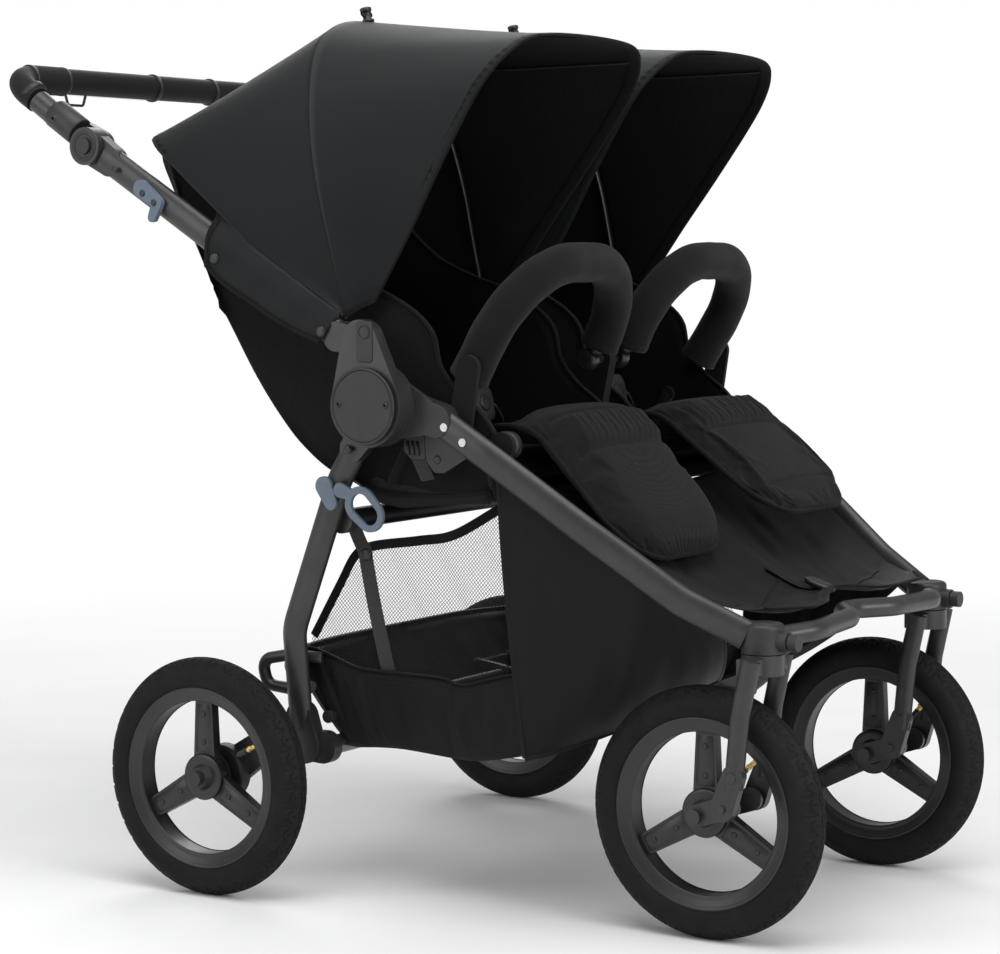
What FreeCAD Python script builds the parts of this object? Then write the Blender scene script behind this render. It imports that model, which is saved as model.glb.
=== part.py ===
import FreeCAD, Part
import math
import os
import Sketcher
from FreeCAD import Placement, Rotation, Vector

# Side-by-side all-terrain stroller. The origin is on the ground under the middle of the
# stroller, +Z is up, the stroller faces -Y and its left side (as seen in a side view) is -X.
# Side-view places are given as (behind the rear axle, above the ground).

DIMENSIONS = {
    "wheel_diameter": 300,
    "tyre_width": 46,
    "bead_radius": 113,
    "rim_opening": 97,
    "spoke_width": 33,
    "spoke_depth": 13,
    "axle_radius": 6,
    "wheelbase": 641,
    "rear_track": 720,
    "front_track": 460,
    "rear_axle_y": 225,
    "swivel_trail": 71,
    "fork_spread": 41,
    "head_radius": 25,
    "head_low": 343,
    "head_top": 378,
    "hub_back": -251,
    "hub_height": 621,
    "hub_radius": 50,
    "pivot_radius": 9,
    "rail_x": 326,
    "upright_x": 350,
    "leg_x": 322,
    "tube_tall": 36,
    "tube_wide": 21,
    "tube_wall": 2,
    "canopy_back": -207,
    "canopy_height": 700,
    "canopy_radius": 402,
    "canopy_outer": 328,
    "canopy_inner": 12,
    "cloth": 4,
    "seat_inner": 38,
    "seat_outer": 292,
    "pad_thick": 38,
    "grip_radius": 17,
    "handle_radius": 10,
    "bumper_radius": 21,
    "bumper_inner": 38,
    "bumper_outer": 294,
    "running_gap": 0.3,
}

doc = FreeCAD.newDocument("stroller")
sheet = doc.addObject("Spreadsheet::Sheet", "Sizes")
for row, (alias, number) in enumerate(DIMENSIONS.items(), start=1):
    sheet.set(f"A{row}", alias.replace("_", " "))
    sheet.set(f"B{row}", str(number))
    sheet.setAlias(f"B{row}", alias)
doc.recompute()

NODES = []
LEFT, RIGHT = -1, 1
SIDES = {"left": LEFT, "right": RIGHT}


def size(alias):
    """The value of a driving dimension, read from the sheet."""
    return float(sheet.get(alias))


REAR_AXLE = size("rear_axle_y")
WHEEL_R = size("wheel_diameter") / 2
GAP = size("running_gap")
HUB = (size("hub_back"), size("hub_height"))
CANOPY = (size("canopy_back"), size("canopy_height"))
PIN = size("pivot_radius")
AXLE = size("axle_radius")


def at(x, back, up):
    """A point from a side-view place: back is measured from the rear axle."""
    return Vector(x, REAR_AXLE + back, up)


def keep(node, shape):
    """Store a finished shape as the sub-part of that name."""
    place = shape.Placement
    item = doc.addObject("Part::Feature", node)
    item.Label = node
    item.Shape = shape
    item.Placement = place
    NODES.append(item)
    return item


def fuse(shapes):
    """One clean solid out of touching ones."""
    return shapes[0].multiFuse(shapes[1:]).removeSplitter() if len(shapes) > 1 else shapes[0]


def rod(start, end, radius):
    """A round bar between two points."""
    along = end - start
    return Part.makeCylinder(radius, along.Length, start, along)


def disc(side, near, far, place, radius):
    """A round piece whose axis is X, from near to far off the middle, on one side."""
    return rod(at(side * near, *place), at(side * far, *place), radius)


def tangent_plate(side, near, far, place_a, radius_a, place_b, radius_b):
    """A flat plate with two round ends of different radius, lying in the side view."""
    a = Vector(0, *place_a)
    b = Vector(0, *place_b)
    line = b - a
    lean = math.acos((radius_a - radius_b) / line.Length)
    heading = math.atan2(line.z, line.y)
    corners = []
    for centre, radius, turn in ((a, radius_a, 1), (b, radius_b, 1), (b, radius_b, -1), (a, radius_a, -1)):
        angle = heading + turn * lean
        corners.append(at(side * near, centre.y + radius * math.cos(angle), centre.z + radius * math.sin(angle)))
    web = Part.Face(Part.makePolygon(corners + corners[:1])).extrude(Vector(side * (far - near), 0, 0))
    ends = [disc(side, near, far, place_a, radius_a), disc(side, near, far, place_b, radius_b)]
    return fuse([web] + ends)


def bent_path(points, bend):
    """Straight runs joined by tangent arcs of one radius."""
    edges = []
    last = points[0]
    for before, corner, after in zip(points, points[1:], points[2:]):
        back = (before - corner).normalize()
        forth = (after - corner).normalize()
        half = back.getAngle(forth) / 2
        reach = bend / math.tan(half)
        start = corner + back * reach
        end = corner + forth * reach
        inward = (back + forth).normalize()
        middle = corner + inward * (bend / math.sin(half) - bend)
        edges.append(Part.LineSegment(last, start).toShape())
        edges.append(Part.Arc(start, middle, end).toShape())
        last = end
    edges.append(Part.LineSegment(last, points[-1]).toShape())
    return Part.Wire(edges)


def swept(points, bend, tall, wide, across=Vector(1, 0, 0)):
    """A solid oval bar along a bent path; wide is the oval's size along across."""
    path = bent_path(points, bend)
    heading = (points[1] - points[0]).normalize()
    up = heading.cross(across).normalize()
    side = up.cross(heading).normalize()
    if abs(tall - wide) < 1e-6:
        ring = Part.Circle(points[0], heading, tall / 2).toShape()
    elif tall > wide:
        ring = Part.Ellipse(points[0] + up * (tall / 2), points[0] + side * (wide / 2), points[0]).toShape()
    else:
        ring = Part.Ellipse(points[0] + side * (wide / 2), points[0] + up * (tall / 2), points[0]).toShape()
    return path.makePipeShell([Part.Wire([ring])], True, False)


def hollow_tube(points, bend, tall, wide, wall, across=Vector(1, 0, 0)):
    """An oval tube with an open bore."""
    outside = swept(points, bend, tall, wide, across)
    bore = swept(points, bend, tall - 2 * wall, wide - 2 * wall, across)
    return outside.cut(bore)


def soft_block(low, high, fillet):
    """A plain closed cushion: a box with rounded edges."""
    block = Part.makeBox(high.x - low.x, high.y - low.y, high.z - low.z, low)
    return block.makeFillet(fillet, block.Edges)


def plane_of(body, role):
    return next(item for item in body.Origin.OriginFeatures if item.Role == role)


def new_body(node, place):
    """An empty PartDesign body, placed where the sub-part belongs."""
    body = doc.addObject("PartDesign::Body", node)
    body.Label = node
    body.Placement = place
    NODES.append(body)
    return body


def new_sketch(body, name, role):
    drawing = body.newObject("Sketcher::SketchObject", name)
    drawing.AttachmentSupport = [(plane_of(body, role), "")]
    drawing.MapMode = "FlatFace"
    return drawing


def draw_polygon(drawing, corners):
    """Closed outline of straight lines; returns the index of its first line."""
    first = drawing.GeometryCount
    ring = corners + corners[:1]
    lines = [Part.LineSegment(Vector(*a, 0), Vector(*b, 0)) for a, b in zip(ring, ring[1:])]
    drawing.addGeometry(lines, False)
    return first


def hold_height(drawing, point, alias_formula):
    """Ties one corner's distance above the sketch's X axis to the sheet."""
    geometry, vertex, value = point
    index = drawing.addConstraint(Sketcher.Constraint("DistanceY", -1, 1, geometry, vertex, value))
    drawing.setExpression(f"Constraints[{index}]", alias_formula)


def revolve(body, drawing, name, role, angle=360):
    turned = body.newObject("PartDesign::Revolution", name)
    turned.Profile = drawing
    turned.ReferenceAxis = (plane_of(body, role), [""])
    turned.Angle = angle
    return turned


# ---------------------------------------------------------------- wheels

def wheel(name, x, back):
    """Air-filled tyre, three-spoke rim and hub, each its own body centred on the axle."""
    centre = Placement(at(x, back, WHEEL_R), Rotation())
    bead = size("bead_radius")
    half = size("tyre_width") / 2
    shoulder = bead + 15

    tyre = new_body(f"{name}_tyre", centre)
    outline = new_sketch(tyre, f"{name}_tyre_outline", "XZ_Plane")
    left, right = Vector(-half, shoulder, 0), Vector(half, shoulder, 0)
    outline.addGeometry([
        Part.LineSegment(Vector(-half + 5, bead, 0), Vector(half - 5, bead, 0)),
        Part.LineSegment(Vector(half - 5, bead, 0), right),
        Part.Arc(right, Vector(0, WHEEL_R, 0), left),
        Part.LineSegment(left, Vector(-half + 5, bead, 0)),
    ], False)
    hold_height(outline, (0, 1, bead), "Sizes.bead_radius")
    revolve(tyre, outline, f"{name}_tyre_ring", "X_Axis")

    rim = new_body(f"{name}_rim", centre)
    band = new_sketch(rim, f"{name}_rim_outline", "XZ_Plane")
    inner = size("rim_opening")
    draw_polygon(band, [(-12, inner), (12, inner), (17, bead - 4), (17, bead), (-17, bead), (-17, bead - 4)])
    hold_height(band, (0, 1, inner), "Sizes.rim_opening")
    revolve(rim, band, f"{name}_rim_ring", "X_Axis")
    arm = new_sketch(rim, f"{name}_spoke_outline", "YZ_Plane")
    wide = size("spoke_width") / 2
    draw_polygon(arm, [(-wide, 20), (wide, 20), (wide - 4, inner + 4), (4 - wide, inner + 4)])
    spoke = rim.newObject("PartDesign::Pad", f"{name}_spoke")
    spoke.Profile = arm
    spoke.SideType = "Symmetric"
    spoke.setExpression("Length", "Sizes.spoke_depth")
    spokes = rim.newObject("PartDesign::PolarPattern", f"{name}_spokes")
    spokes.Originals = [spoke]
    spokes.Axis = (plane_of(rim, "X_Axis"), [""])
    spokes.Angle = 360
    spokes.Occurrences = 3
    rim.Tip = spokes
    nave = new_sketch(rim, f"{name}_nave_outline", "XZ_Plane")
    draw_polygon(nave, [(-9, 17.5), (9, 17.5), (9, 27), (-9, 27)])
    revolve(rim, nave, f"{name}_nave", "X_Axis")

    hub = new_body(f"{name}_hub", centre)
    barrel = new_sketch(hub, f"{name}_hub_outline", "XZ_Plane")
    bore = AXLE + GAP
    draw_polygon(barrel, [(-20, bore), (20, bore), (20, 13), (9, 17.5), (-9, 17.5), (-20, 13)])
    hold_height(barrel, (0, 1, bore), "Sizes.axle_radius + Sizes.running_gap")
    revolve(hub, barrel, f"{name}_hub_barrel", "X_Axis")


FRONT_BACK = -size("wheelbase")
for side_name, side in SIDES.items():
    wheel(f"{side_name}_rear", side * size("rear_track") / 2, 0)
    wheel(f"{side_name}_front", side * size("front_track") / 2, FRONT_BACK)

# ---------------------------------------------------------------- front forks

SWIVEL_BACK = FRONT_BACK - size("swivel_trail")
LINK_PIVOT = (SWIVEL_BACK + 29, WHEEL_R + 15)
SPREAD = size("fork_spread")
HEAD_LOW = size("head_low")
HEAD_TOP = size("head_top")
CROWN_LOW = 318
STEM_R = 8


def swivel_heads():
    """Two upright steering housings that hold the fork stems, with a boss for the lock knob."""
    heads = []
    for side in SIDES.values():
        x = side * size("front_track") / 2
        foot = at(x, SWIVEL_BACK, HEAD_LOW)
        top = at(x, SWIVEL_BACK, HEAD_TOP)
        shell = rod(foot, top, size("head_radius"))
        shell = shell.makeFillet(6, [edge for edge in shell.Edges if edge.BoundBox.ZMin > HEAD_TOP - 1])
        boss = rod(at(x, SWIVEL_BACK - 20, 357), at(x, SWIVEL_BACK - 34, 357), 12)
        shell = fuse([shell, boss])
        bore = rod(at(x, SWIVEL_BACK, HEAD_LOW - 1), at(x, SWIVEL_BACK, HEAD_TOP - 8), STEM_R + GAP)
        socket = rod(at(x, SWIVEL_BACK - 26, 357), at(x, SWIVEL_BACK - 40, 357), 6)
        heads.append(shell.cut(bore).cut(socket))
    keep("swivel_heads", Part.makeCompound(heads))


def lock_knob(name, side):
    """Push-pull knob that locks the swivel straight ahead."""
    x = side * size("front_track") / 2
    stem = rod(at(x, SWIVEL_BACK - 28, 357), at(x, SWIVEL_BACK - 38, 357), 5.5)
    cap = rod(at(x, SWIVEL_BACK - 35, 357), at(x, SWIVEL_BACK - 46, 357), 10)
    keep(name, fuse([stem, cap]))


def fork(name, side):
    """Crown with stem, and two bent blades that end in rounded feet."""
    x = side * size("front_track") / 2
    crown = rod(at(x, SWIVEL_BACK, CROWN_LOW), at(x, SWIVEL_BACK, HEAD_LOW - 1), size("head_radius"))
    stem = rod(at(x, SWIVEL_BACK, HEAD_LOW - 2), at(x, SWIVEL_BACK, HEAD_TOP - 10), STEM_R)
    bridge = Part.makeBox(2 * SPREAD, 26, 18, at(x - SPREAD, SWIVEL_BACK - 13, CROWN_LOW + 3))
    pieces = [crown, stem, bridge]
    for offset in (-SPREAD, SPREAD):
        line = [
            at(x + offset, SWIVEL_BACK - 6, CROWN_LOW + 21),
            at(x + offset, SWIVEL_BACK + 8, 275),
            at(x + offset, SWIVEL_BACK + 16, 190),
        ]
        pieces.append(swept(line, 60, 24, 16))
        outward = 1 if offset > 0 else -1
        foot = tangent_plate(1, x + offset - 6, x + offset + 6, (SWIVEL_BACK + 15, 205), 13, LINK_PIVOT, 15)
        pieces.append(foot)
        pin = rod(at(x + outward * 25, *LINK_PIVOT), at(x + offset + outward * 9, *LINK_PIVOT), 5)
        pieces.append(pin)
        pieces.append(rod(at(x + offset, SWIVEL_BACK + 15, 203), at(x + offset + outward * 10, SWIVEL_BACK + 15, 203), 6))
    keep(name, fuse(pieces))


def suspension_link(name, side):
    """Trailing link pair with the front axle; it swings on the fork's feet."""
    x = side * size("front_track") / 2
    axle_place = (FRONT_BACK, WHEEL_R)
    pieces = [rod(at(x - 35, *axle_place), at(x + 35, *axle_place), AXLE)]
    for outward in (-1, 1):
        near, far = sorted((x + outward * 25, x + outward * 31))
        plate = tangent_plate(1, near, far, LINK_PIVOT, 14, axle_place, 13)
        hole = rod(at(near - 1, *LINK_PIVOT), at(far + 1, *LINK_PIVOT), 5 + GAP)
        pieces.append(plate.cut(hole))
        pieces.append(rod(at(x + outward * 30, *axle_place), at(x + outward * 38, *axle_place), 9))
    keep(name, fuse(pieces))


swivel_heads()
for side_name, side in SIDES.items():
    lock_knob(f"{side_name}_swivel_lock", side)
    fork(f"{side_name}_fork", side)
    suspension_link(f"{side_name}_front_link", side)

# ---------------------------------------------------------------- front frame

RAIL_X = size("rail_x")
TALL = size("tube_tall")
WIDE = size("tube_wide")
WALL = size("tube_wall")
FRONT_X = size("front_track") / 2


def rail(name, side):
    """Oval front side tube from the folding hub down to the swivel head."""
    line = [
        at(side * RAIL_X, -322, 610),
        at(side * RAIL_X, -395, 566),
        at(side * 306, -520, 480),
        at(side * 272, -628, 401),
        at(side * 244, -698, 364),
    ]
    keep(name, hollow_tube(line, 180, TALL, WIDE, WALL))


def front_cross_tube():
    """Bowed tube between the swivel heads, pushed back in the middle."""
    half = [(FRONT_X - 20, -722, 360), (165, -748, 364), (60, -742, 366)]
    line = [at(-x, back, up) for x, back, up in half]
    line.append(at(0, -700, 366))
    line += [at(x, back, up) for x, back, up in reversed(half)]
    keep("front_cross_tube", hollow_tube(line, 38, 24, 24, WALL, Vector(0, 0, 1)))


def hub_housing(name, side):
    """Fixed hub plate with the main pivot pin and the neck that holds the side tube."""
    plate = disc(side, 332, 348, HUB, size("hub_radius"))
    neck = tangent_plate(side, 315, 337, (-297, 613), 21, (-332, 604), 20)
    room = disc(side, 310, 332, HUB, 41)
    web = tangent_plate(side, 331, 337, HUB, 44, (-310, 610), 24)
    pin = disc(side, 312, 366, HUB, PIN)
    head = disc(side, 308, 313, HUB, PIN + 5)
    keep(name, fuse([plate, neck.cut(room), web, pin, head]))


def seat_frame():
    """Two bars under the seats, and the brackets that hold the bumper bars and leg rests."""
    bars = []
    for back, end_back, end_up, boss_end in ((-238, -291, 606, 314.8), (-396, -386, 571, 312)):
        half = [(301, end_back, end_up), (301, back, 511)]
        line = [at(-x, y, up) for x, y, up in half] + [at(x, y, up) for x, y, up in reversed(half)]
        bars.append(swept(line, 24, 15, 15, Vector(1, 0, 0)))
        for side in SIDES.values():
            bars.append(disc(side, 296, boss_end, (end_back, end_up), 10))
    spine = rod(at(0, -238, 511), at(0, -396, 511), 7)
    brackets = []
    for side in SIDES.values():
        post = tangent_plate(side, 309, 315, BUMPER_PIVOT, 15, (-352, 596), 16)
        leg_post = tangent_plate(side, 303, 310, LEG_PIVOT, 17, (-398, 560), 14)
        bumper_pin = disc(side, 285, 310, BUMPER_PIVOT, 6)
        leg_pin = disc(side, 286, 306, LEG_PIVOT, 6)
        brackets += [post, leg_post, bumper_pin, leg_pin]
    middle = tangent_plate(1, -8, 8, BUMPER_PIVOT, 15, (-330, 518), 18)
    middle_pin = disc(1, -47, 47, BUMPER_PIVOT, 6)
    leg_middle = tangent_plate(1, -8, 8, LEG_PIVOT, 15, (-370, 515), 12)
    leg_middle_pin = disc(1, -38, 38, LEG_PIVOT, 6)
    brackets += [middle, middle_pin, leg_middle, leg_middle_pin]
    keep("seat_frame", fuse(bars + [spine] + brackets))


BUMPER_PIVOT = (-364, 667)
LEG_PIVOT = (-407, 575)
for side_name, side in SIDES.items():
    rail(f"{side_name}_rail", side)
    hub_housing(f"{side_name}_hub_housing", side)
front_cross_tube()
seat_frame()


def frame_fasteners():
    """Round-headed bolts on the side tubes: a group of like fasteners."""
    bolts = []
    for side in SIDES.values():
        for place in ((-371, 580), (-345, 597)):
            bolts.append(disc(side, RAIL_X + WIDE / 2 - 1, RAIL_X + WIDE / 2 + 1.8, place, 5))
    keep("frame_fasteners", Part.makeCompound(bolts))


frame_fasteners()

# ---------------------------------------------------------------- folding handle frame

UPRIGHT_X = size("upright_x")
SLOPE = math.radians(31.5)
TILT_PIVOT = (181, 939)
UPRIGHT_FOOT = (-221, 693)
UPRIGHT_END = (160, 926)
TRIGGER_PIVOT = (88, 884)


def upright(name, side):
    """Handle side tube with its hub yoke below and its tilt housing above."""
    yoke = tangent_plate(side, 349, 366, HUB, size("hub_radius"), (-243, 699), 25)
    yoke = yoke.cut(disc(side, 340, 370, HUB, PIN + GAP))
    tube = hollow_tube([at(side * UPRIGHT_X, *UPRIGHT_FOOT), at(side * UPRIGHT_X, -30, 810),
                        at(side * UPRIGHT_X, *UPRIGHT_END)], 900, TALL, 22, WALL)
    heel = tangent_plate(side, 339, 361, (-243, 699), 14, (-205, 703), 18)
    housing = disc(side, 342, 366, TILT_PIVOT, 24)
    recess = disc(side, 356, 370, TILT_PIVOT, 11)
    pin = disc(side, 329, 345, TILT_PIVOT, 7)
    pad = tangent_plate(side, 342, 358, TILT_PIVOT, 22, (148, 919), 19)
    keep(name, fuse([yoke, heel, tube, pad, housing, pin]).cut(recess))


def hub_covers():
    """Round snap covers on the hub yokes, without any mark."""
    covers = []
    for side in SIDES.values():
        cover = disc(side, 366, 372, HUB, 44)
        rim_edges = [edge for edge in cover.Edges if abs(edge.BoundBox.Center.x) > 371.9]
        covers.append(cover.makeFillet(3, rim_edges))
    keep("hub_covers", Part.makeCompound(covers))


def tilt_button(name, side):
    """Round push button in the tilt housing."""
    keep(name, disc(side, 361, 370, TILT_PIVOT, 11 - GAP))


def fold_trigger(name, side):
    """Bent finger lever outside the upright that releases the fold."""
    body = tangent_plate(side, 362, 369, TRIGGER_PIVOT, 11, (62, 866), 8)
    finger = tangent_plate(side, 362, 369, (62, 866), 8, (70, 848), 6)
    keep(name, fuse([body, finger]))


def handlebar():
    """U-shaped push bar with knuckles that turn inside the tilt housings."""
    reach = [(UPRIGHT_X, 214, 960), (UPRIGHT_X, 268, 998), (346, 322, 1031)]
    line = [at(-x, back, up) for x, back, up in reach] + [at(x, back, up) for x, back, up in reversed(reach)]
    radius = size("handle_radius")
    pieces = [swept(line, 46, 2 * radius, 2 * radius)]
    for side in SIDES.values():
        knuckle = tangent_plate(side, 330, 341, TILT_PIVOT, 21, (214, 961), 15)
        knuckle = knuckle.cut(disc(side, 325, 345, TILT_PIVOT, 7 + GAP))
        sleeve = swept([at(side * 348, 214, 960), at(side * 349, 240, 978), at(side * UPRIGHT_X, 270, 999)],
                       60, 30, 30)
        hole = disc(side, 356, 370, ACCESSORY_PLACE, 3)
        pieces.append(fuse([knuckle, sleeve]).cut(hole))
    bar = fuse(pieces)
    for side in SIDES.values():
        bar = bar.cut(disc(side, 355, 370, ACCESSORY_PLACE, 3))
    keep("handlebar", bar)


def hand_grip():
    """Stitched foam sleeve along the whole push bar."""
    reach = [(UPRIGHT_X, 272, 1000.5), (346, 322, 1031)]
    line = [at(-x, back, up) for x, back, up in reach] + [at(x, back, up) for x, back, up in reversed(reach)]
    radius = size("grip_radius")
    bore = size("handle_radius")
    keep("hand_grip", swept(line, 46, 2 * radius, 2 * radius).cut(swept(line, 46, 2 * bore, 2 * bore)))


ACCESSORY_PLACE = (242, 979)
for side_name, side in SIDES.items():
    upright(f"{side_name}_upright", side)
    tilt_button(f"{side_name}_tilt_button", side)
    fold_trigger(f"{side_name}_fold_trigger", side)
hub_covers()
handlebar()
hand_grip()

# ---------------------------------------------------------------- folding rear frame

LEG_X = size("leg_x")
ARM_PIVOT = (-62, 192)
AXLE_TUBE = (-138, 190)
BRAKE_ROD = (-134, 226)
MIDDLE_TUBE = (-175, 477)


def rear_legs():
    """Two bent oval legs that hang from the hubs, with feet for the suspension arms."""
    legs = []
    for side in SIDES.values():
        eye = disc(side, 317, 331, HUB, 38)
        lug = fuse([eye, tangent_plate(side, 317, 331, HUB, 22, (-205, 566), 17)])
        lug = lug.cut(disc(side, 310, 340, HUB, PIN + GAP))
        line = [
            at(side * LEG_X, -206, 568),
            at(side * LEG_X, -182, 528),
            at(side * (LEG_X - 2), -108, 338),
            at(side * 300, -103, 214),
        ]
        tube = hollow_tube(line, 70, 34, WIDE, WALL)
        foot = tangent_plate(side, 290, 306, AXLE_TUBE, 20, ARM_PIVOT, 17)
        socket = tangent_plate(side, 291, 309, (-104, 226), 19, (-112, 190), 22)
        pin = disc(side, 300, 326, ARM_PIVOT, 6)
        legs.append(fuse([lug, tube, foot, socket, pin]))
    keep("rear_legs", Part.makeCompound(legs))


def rear_cross_tubes():
    """Axle tube, middle tube and the bowed tube that carries the basket's rear hem."""
    axle_tube = rod(at(-291, *AXLE_TUBE), at(291, *AXLE_TUBE), 12)
    middle = rod(at(-312, *MIDDLE_TUBE), at(312, *MIDDLE_TUBE), 13)
    half = [(294, -112, 262), (262, -52, 284), (120, -42, 290)]
    line = [at(-x, back, up) for x, back, up in half] + [at(x, back, up) for x, back, up in reversed(half)]
    hem = swept(line, 40, 18, 18, Vector(0, 0, 1))
    brackets = []
    for side in SIDES.values():
        brackets.append(tangent_plate(side, 300, 312, MIDDLE_TUBE, 17, (-163, 480), 12))
    keep("rear_cross_tubes", Part.makeCompound([axle_tube, fuse([middle] + brackets), hem]))


def brake_pedal():
    """Foot pedal on a rod that runs across to both rear wheels."""
    bar = rod(at(-288, *BRAKE_ROD), at(288, *BRAKE_ROD), 8)
    lever = tangent_plate(1, 116, 124, BRAKE_ROD, 12, (-84, 236), 9)
    other = tangent_plate(1, 196, 204, BRAKE_ROD, 12, (-84, 236), 9)
    tread = Part.makeBox(104, 30, 9, at(108, -96, 233))
    tread = tread.makeFillet(3.5, tread.Edges)
    keep("brake_pedal", fuse([bar, lever, other, tread]))


def rear_arm(name, side):
    """Trailing arm with the brake drum housing and the stub axle."""
    axle_place = (0, WHEEL_R)
    plate = tangent_plate(side, 309, 321, axle_place, 24, ARM_PIVOT, 19)
    plate = plate.cut(disc(side, 305, 325, ARM_PIVOT, 6 + GAP))
    drum = disc(side, 319, 337, axle_place, 36)
    drum = drum.makeFillet(4, [e for e in drum.Edges if abs(e.BoundBox.Center.x) > 336.9])
    shaft = disc(side, 318, 384, axle_place, AXLE)
    nut = disc(side, 380.5, 387, axle_place, 9)
    keep(name, fuse([plate, drum, shaft, nut]))


def fold_latch():
    """Oval pull ring on the leg that holds the stroller folded."""
    outer = tangent_plate(LEFT, 333.2, 338, (-222, 500), 22, (-236, 487), 20)
    inner = tangent_plate(LEFT, 330, 345, (-222, 500), 13, (-236, 487), 12)
    stub = tangent_plate(LEFT, 333.2, 338, LATCH_PIVOT, 9, (-205, 512), 7)
    keep("fold_latch", fuse([outer.cut(inner), stub.cut(inner)]))


def latch_bracket():
    """Clip plate on the rear edge of the left leg."""
    plate = tangent_plate(LEFT, 333.5, 338, (-168, 520), 12, (-178, 500), 9)
    keep("latch_bracket", plate)


LATCH_PIVOT = (-192, 516)
rear_legs()
rear_cross_tubes()
brake_pedal()
fold_latch()
latch_bracket()
for side_name, side in SIDES.items():
    rear_arm(f"{side_name}_rear_arm", side)

# ---------------------------------------------------------------- canopies

CANOPY_R = size("canopy_radius")
CLOTH = size("cloth")


def canopy_section(name, side, start, end, step):
    """One stiffened sector of the hood: a U-shaped sheet turned about the canopy pivot."""
    inner = size("canopy_inner")
    outer = size("canopy_outer")
    place = Placement(at(0, *CANOPY), Rotation(Vector(1, 0, 0), start - 90))
    body = new_body(name, place)
    outline = new_sketch(body, f"{name}_outline", "XZ_Plane")
    near = inner + step
    far = outer - step
    top = CANOPY_R - step
    low = 60
    corner = 62
    shape = [
        (near, low), (near, top - corner - 20), (near + 22, top - 22), (near + corner + 20, top),
        (far - corner - 20, top), (far - 22, top - 22), (far, top - corner - 20), (far, low),
        (far - CLOTH, low), (far - CLOTH, top - corner - 22), (far - 25, top - 25), (far - corner - 22, top - CLOTH),
        (near + corner + 22, top - CLOTH), (near + 25, top - 25), (near + CLOTH, top - corner - 22), (near + CLOTH, low),
    ]
    draw_polygon(outline, [(side * x, up) for x, up in shape])
    turned = revolve(body, outline, f"{name}_sheet", "X_Axis", end - start)
    turned.Reversed = False
    return body


for side_name, side in SIDES.items():
    canopy_section(f"{side_name}_canopy_rear", side, 39, 83.5, 0)
    canopy_section(f"{side_name}_canopy_middle", side, 84, 107.5, 5)
    canopy_section(f"{side_name}_canopy_front", side, 108, 130, 10)

# ---------------------------------------------------------------- seats

SEAT_IN = size("seat_inner")
SEAT_OUT = size("seat_outer")
THICK = size("pad_thick")
RECLINE_PIVOT = (-182, 556)
BACK_ANGLE = 50
BACK_LONG = 392


def seat_pads():
    """Two seat cushions between the hub and the leg rests."""
    pads = []
    for side in SIDES.values():
        low, high = sorted((side * SEAT_IN, side * SEAT_OUT))
        pads.append(soft_block(at(low, -398, 520), at(high, -212, 520 + THICK), 12))
    keep("seat_pads", Part.makeCompound(pads))


def back_block(low, high, along_low, along_high, out_low, out_high, fillet):
    """A rounded block in the seat back's own tilted frame."""
    block = soft_block(Vector(low, along_low, out_low), Vector(high, along_high, out_high), fillet)
    block.Placement = Placement(at(0, *RECLINE_PIVOT), Rotation(Vector(1, 0, 0), BACK_ANGLE))
    return block


def seat_back(name, side):
    """Padded seat back, one plain closed cushion."""
    low, high = sorted((side * SEAT_IN, side * SEAT_OUT))
    keep(name, back_block(low, high, 14, BACK_LONG, 0, THICK, 14))


def shoulder_harness(name, side):
    """Two shoulder straps with pads, lying on the seat back."""
    middle = side * (SEAT_IN + SEAT_OUT) / 2
    straps = []
    for offset in (-42, 42):
        x = middle + offset
        straps.append(back_block(x - 22, x + 22, 190, 330, THICK, THICK + 12, 5))
        straps.append(back_block(x - 12, x + 12, 70, 345, THICK, THICK + 3, 1.2))
    keep(name, Part.makeCompound([fuse(straps[:2]), fuse(straps[2:])]))


def harness_buckles():
    """Crotch straps with their buckles, standing on the seat cushions."""
    buckles = []
    for side in SIDES.values():
        middle = side * (SEAT_IN + SEAT_OUT) / 2
        top = 520 + THICK
        strap = Part.makeBox(26, 4, 46, at(middle - 13, -304, top))
        case = soft_block(at(middle - 26, -312, top + 40), at(middle + 26, -292, top + 84), 7)
        buckles.append(fuse([strap, case]))
    keep("harness_buckles", Part.makeCompound(buckles))


def bumper_bar(name, side):
    """Padded arch across one seat, hinged on the seat frame."""
    inner = size("bumper_inner")
    outer = size("bumper_outer")
    radius = size("bumper_radius")
    crest = (-424, 787)
    start = (-376, 690)
    line = [at(side * inner, *start), at(side * inner, *crest), at(side * outer, *crest), at(side * outer, *start)]
    pieces = [swept(line, 84, 2 * radius, 2 * radius)]
    for x in (inner, outer):
        ear = tangent_plate(side, x - 8, x + 8, BUMPER_PIVOT, 13, (-377, 692), 11)
        pieces.append(ear.cut(disc(side, x - 12, x + 12, BUMPER_PIVOT, 6 + GAP)))
    keep(name, fuse(pieces))


def leg_rest(name, side):
    """Calf pad that hinges at the seat's front edge."""
    inner = 34
    outer = 270
    lean = math.degrees(math.atan2(118, 148))
    low, high = sorted((side * inner, side * outer))
    pad = soft_block(Vector(low, -236, -14), Vector(high, 12, 12), 10)
    pad.Placement = Placement(at(0, *LEG_PIVOT), Rotation(Vector(1, 0, 0), lean))
    keep(name, pad.cut(disc(side, 0, 300, LEG_PIVOT, 6 + GAP)))


seat_pads()
harness_buckles()
for side_name, side in SIDES.items():
    seat_back(f"{side_name}_seat_back", side)
    shoulder_harness(f"{side_name}_shoulder_harness", side)
    bumper_bar(f"{side_name}_bumper_bar", side)
    leg_rest(f"{side_name}_leg_rest", side)

# ---------------------------------------------------------------- footwell and basket


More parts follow.
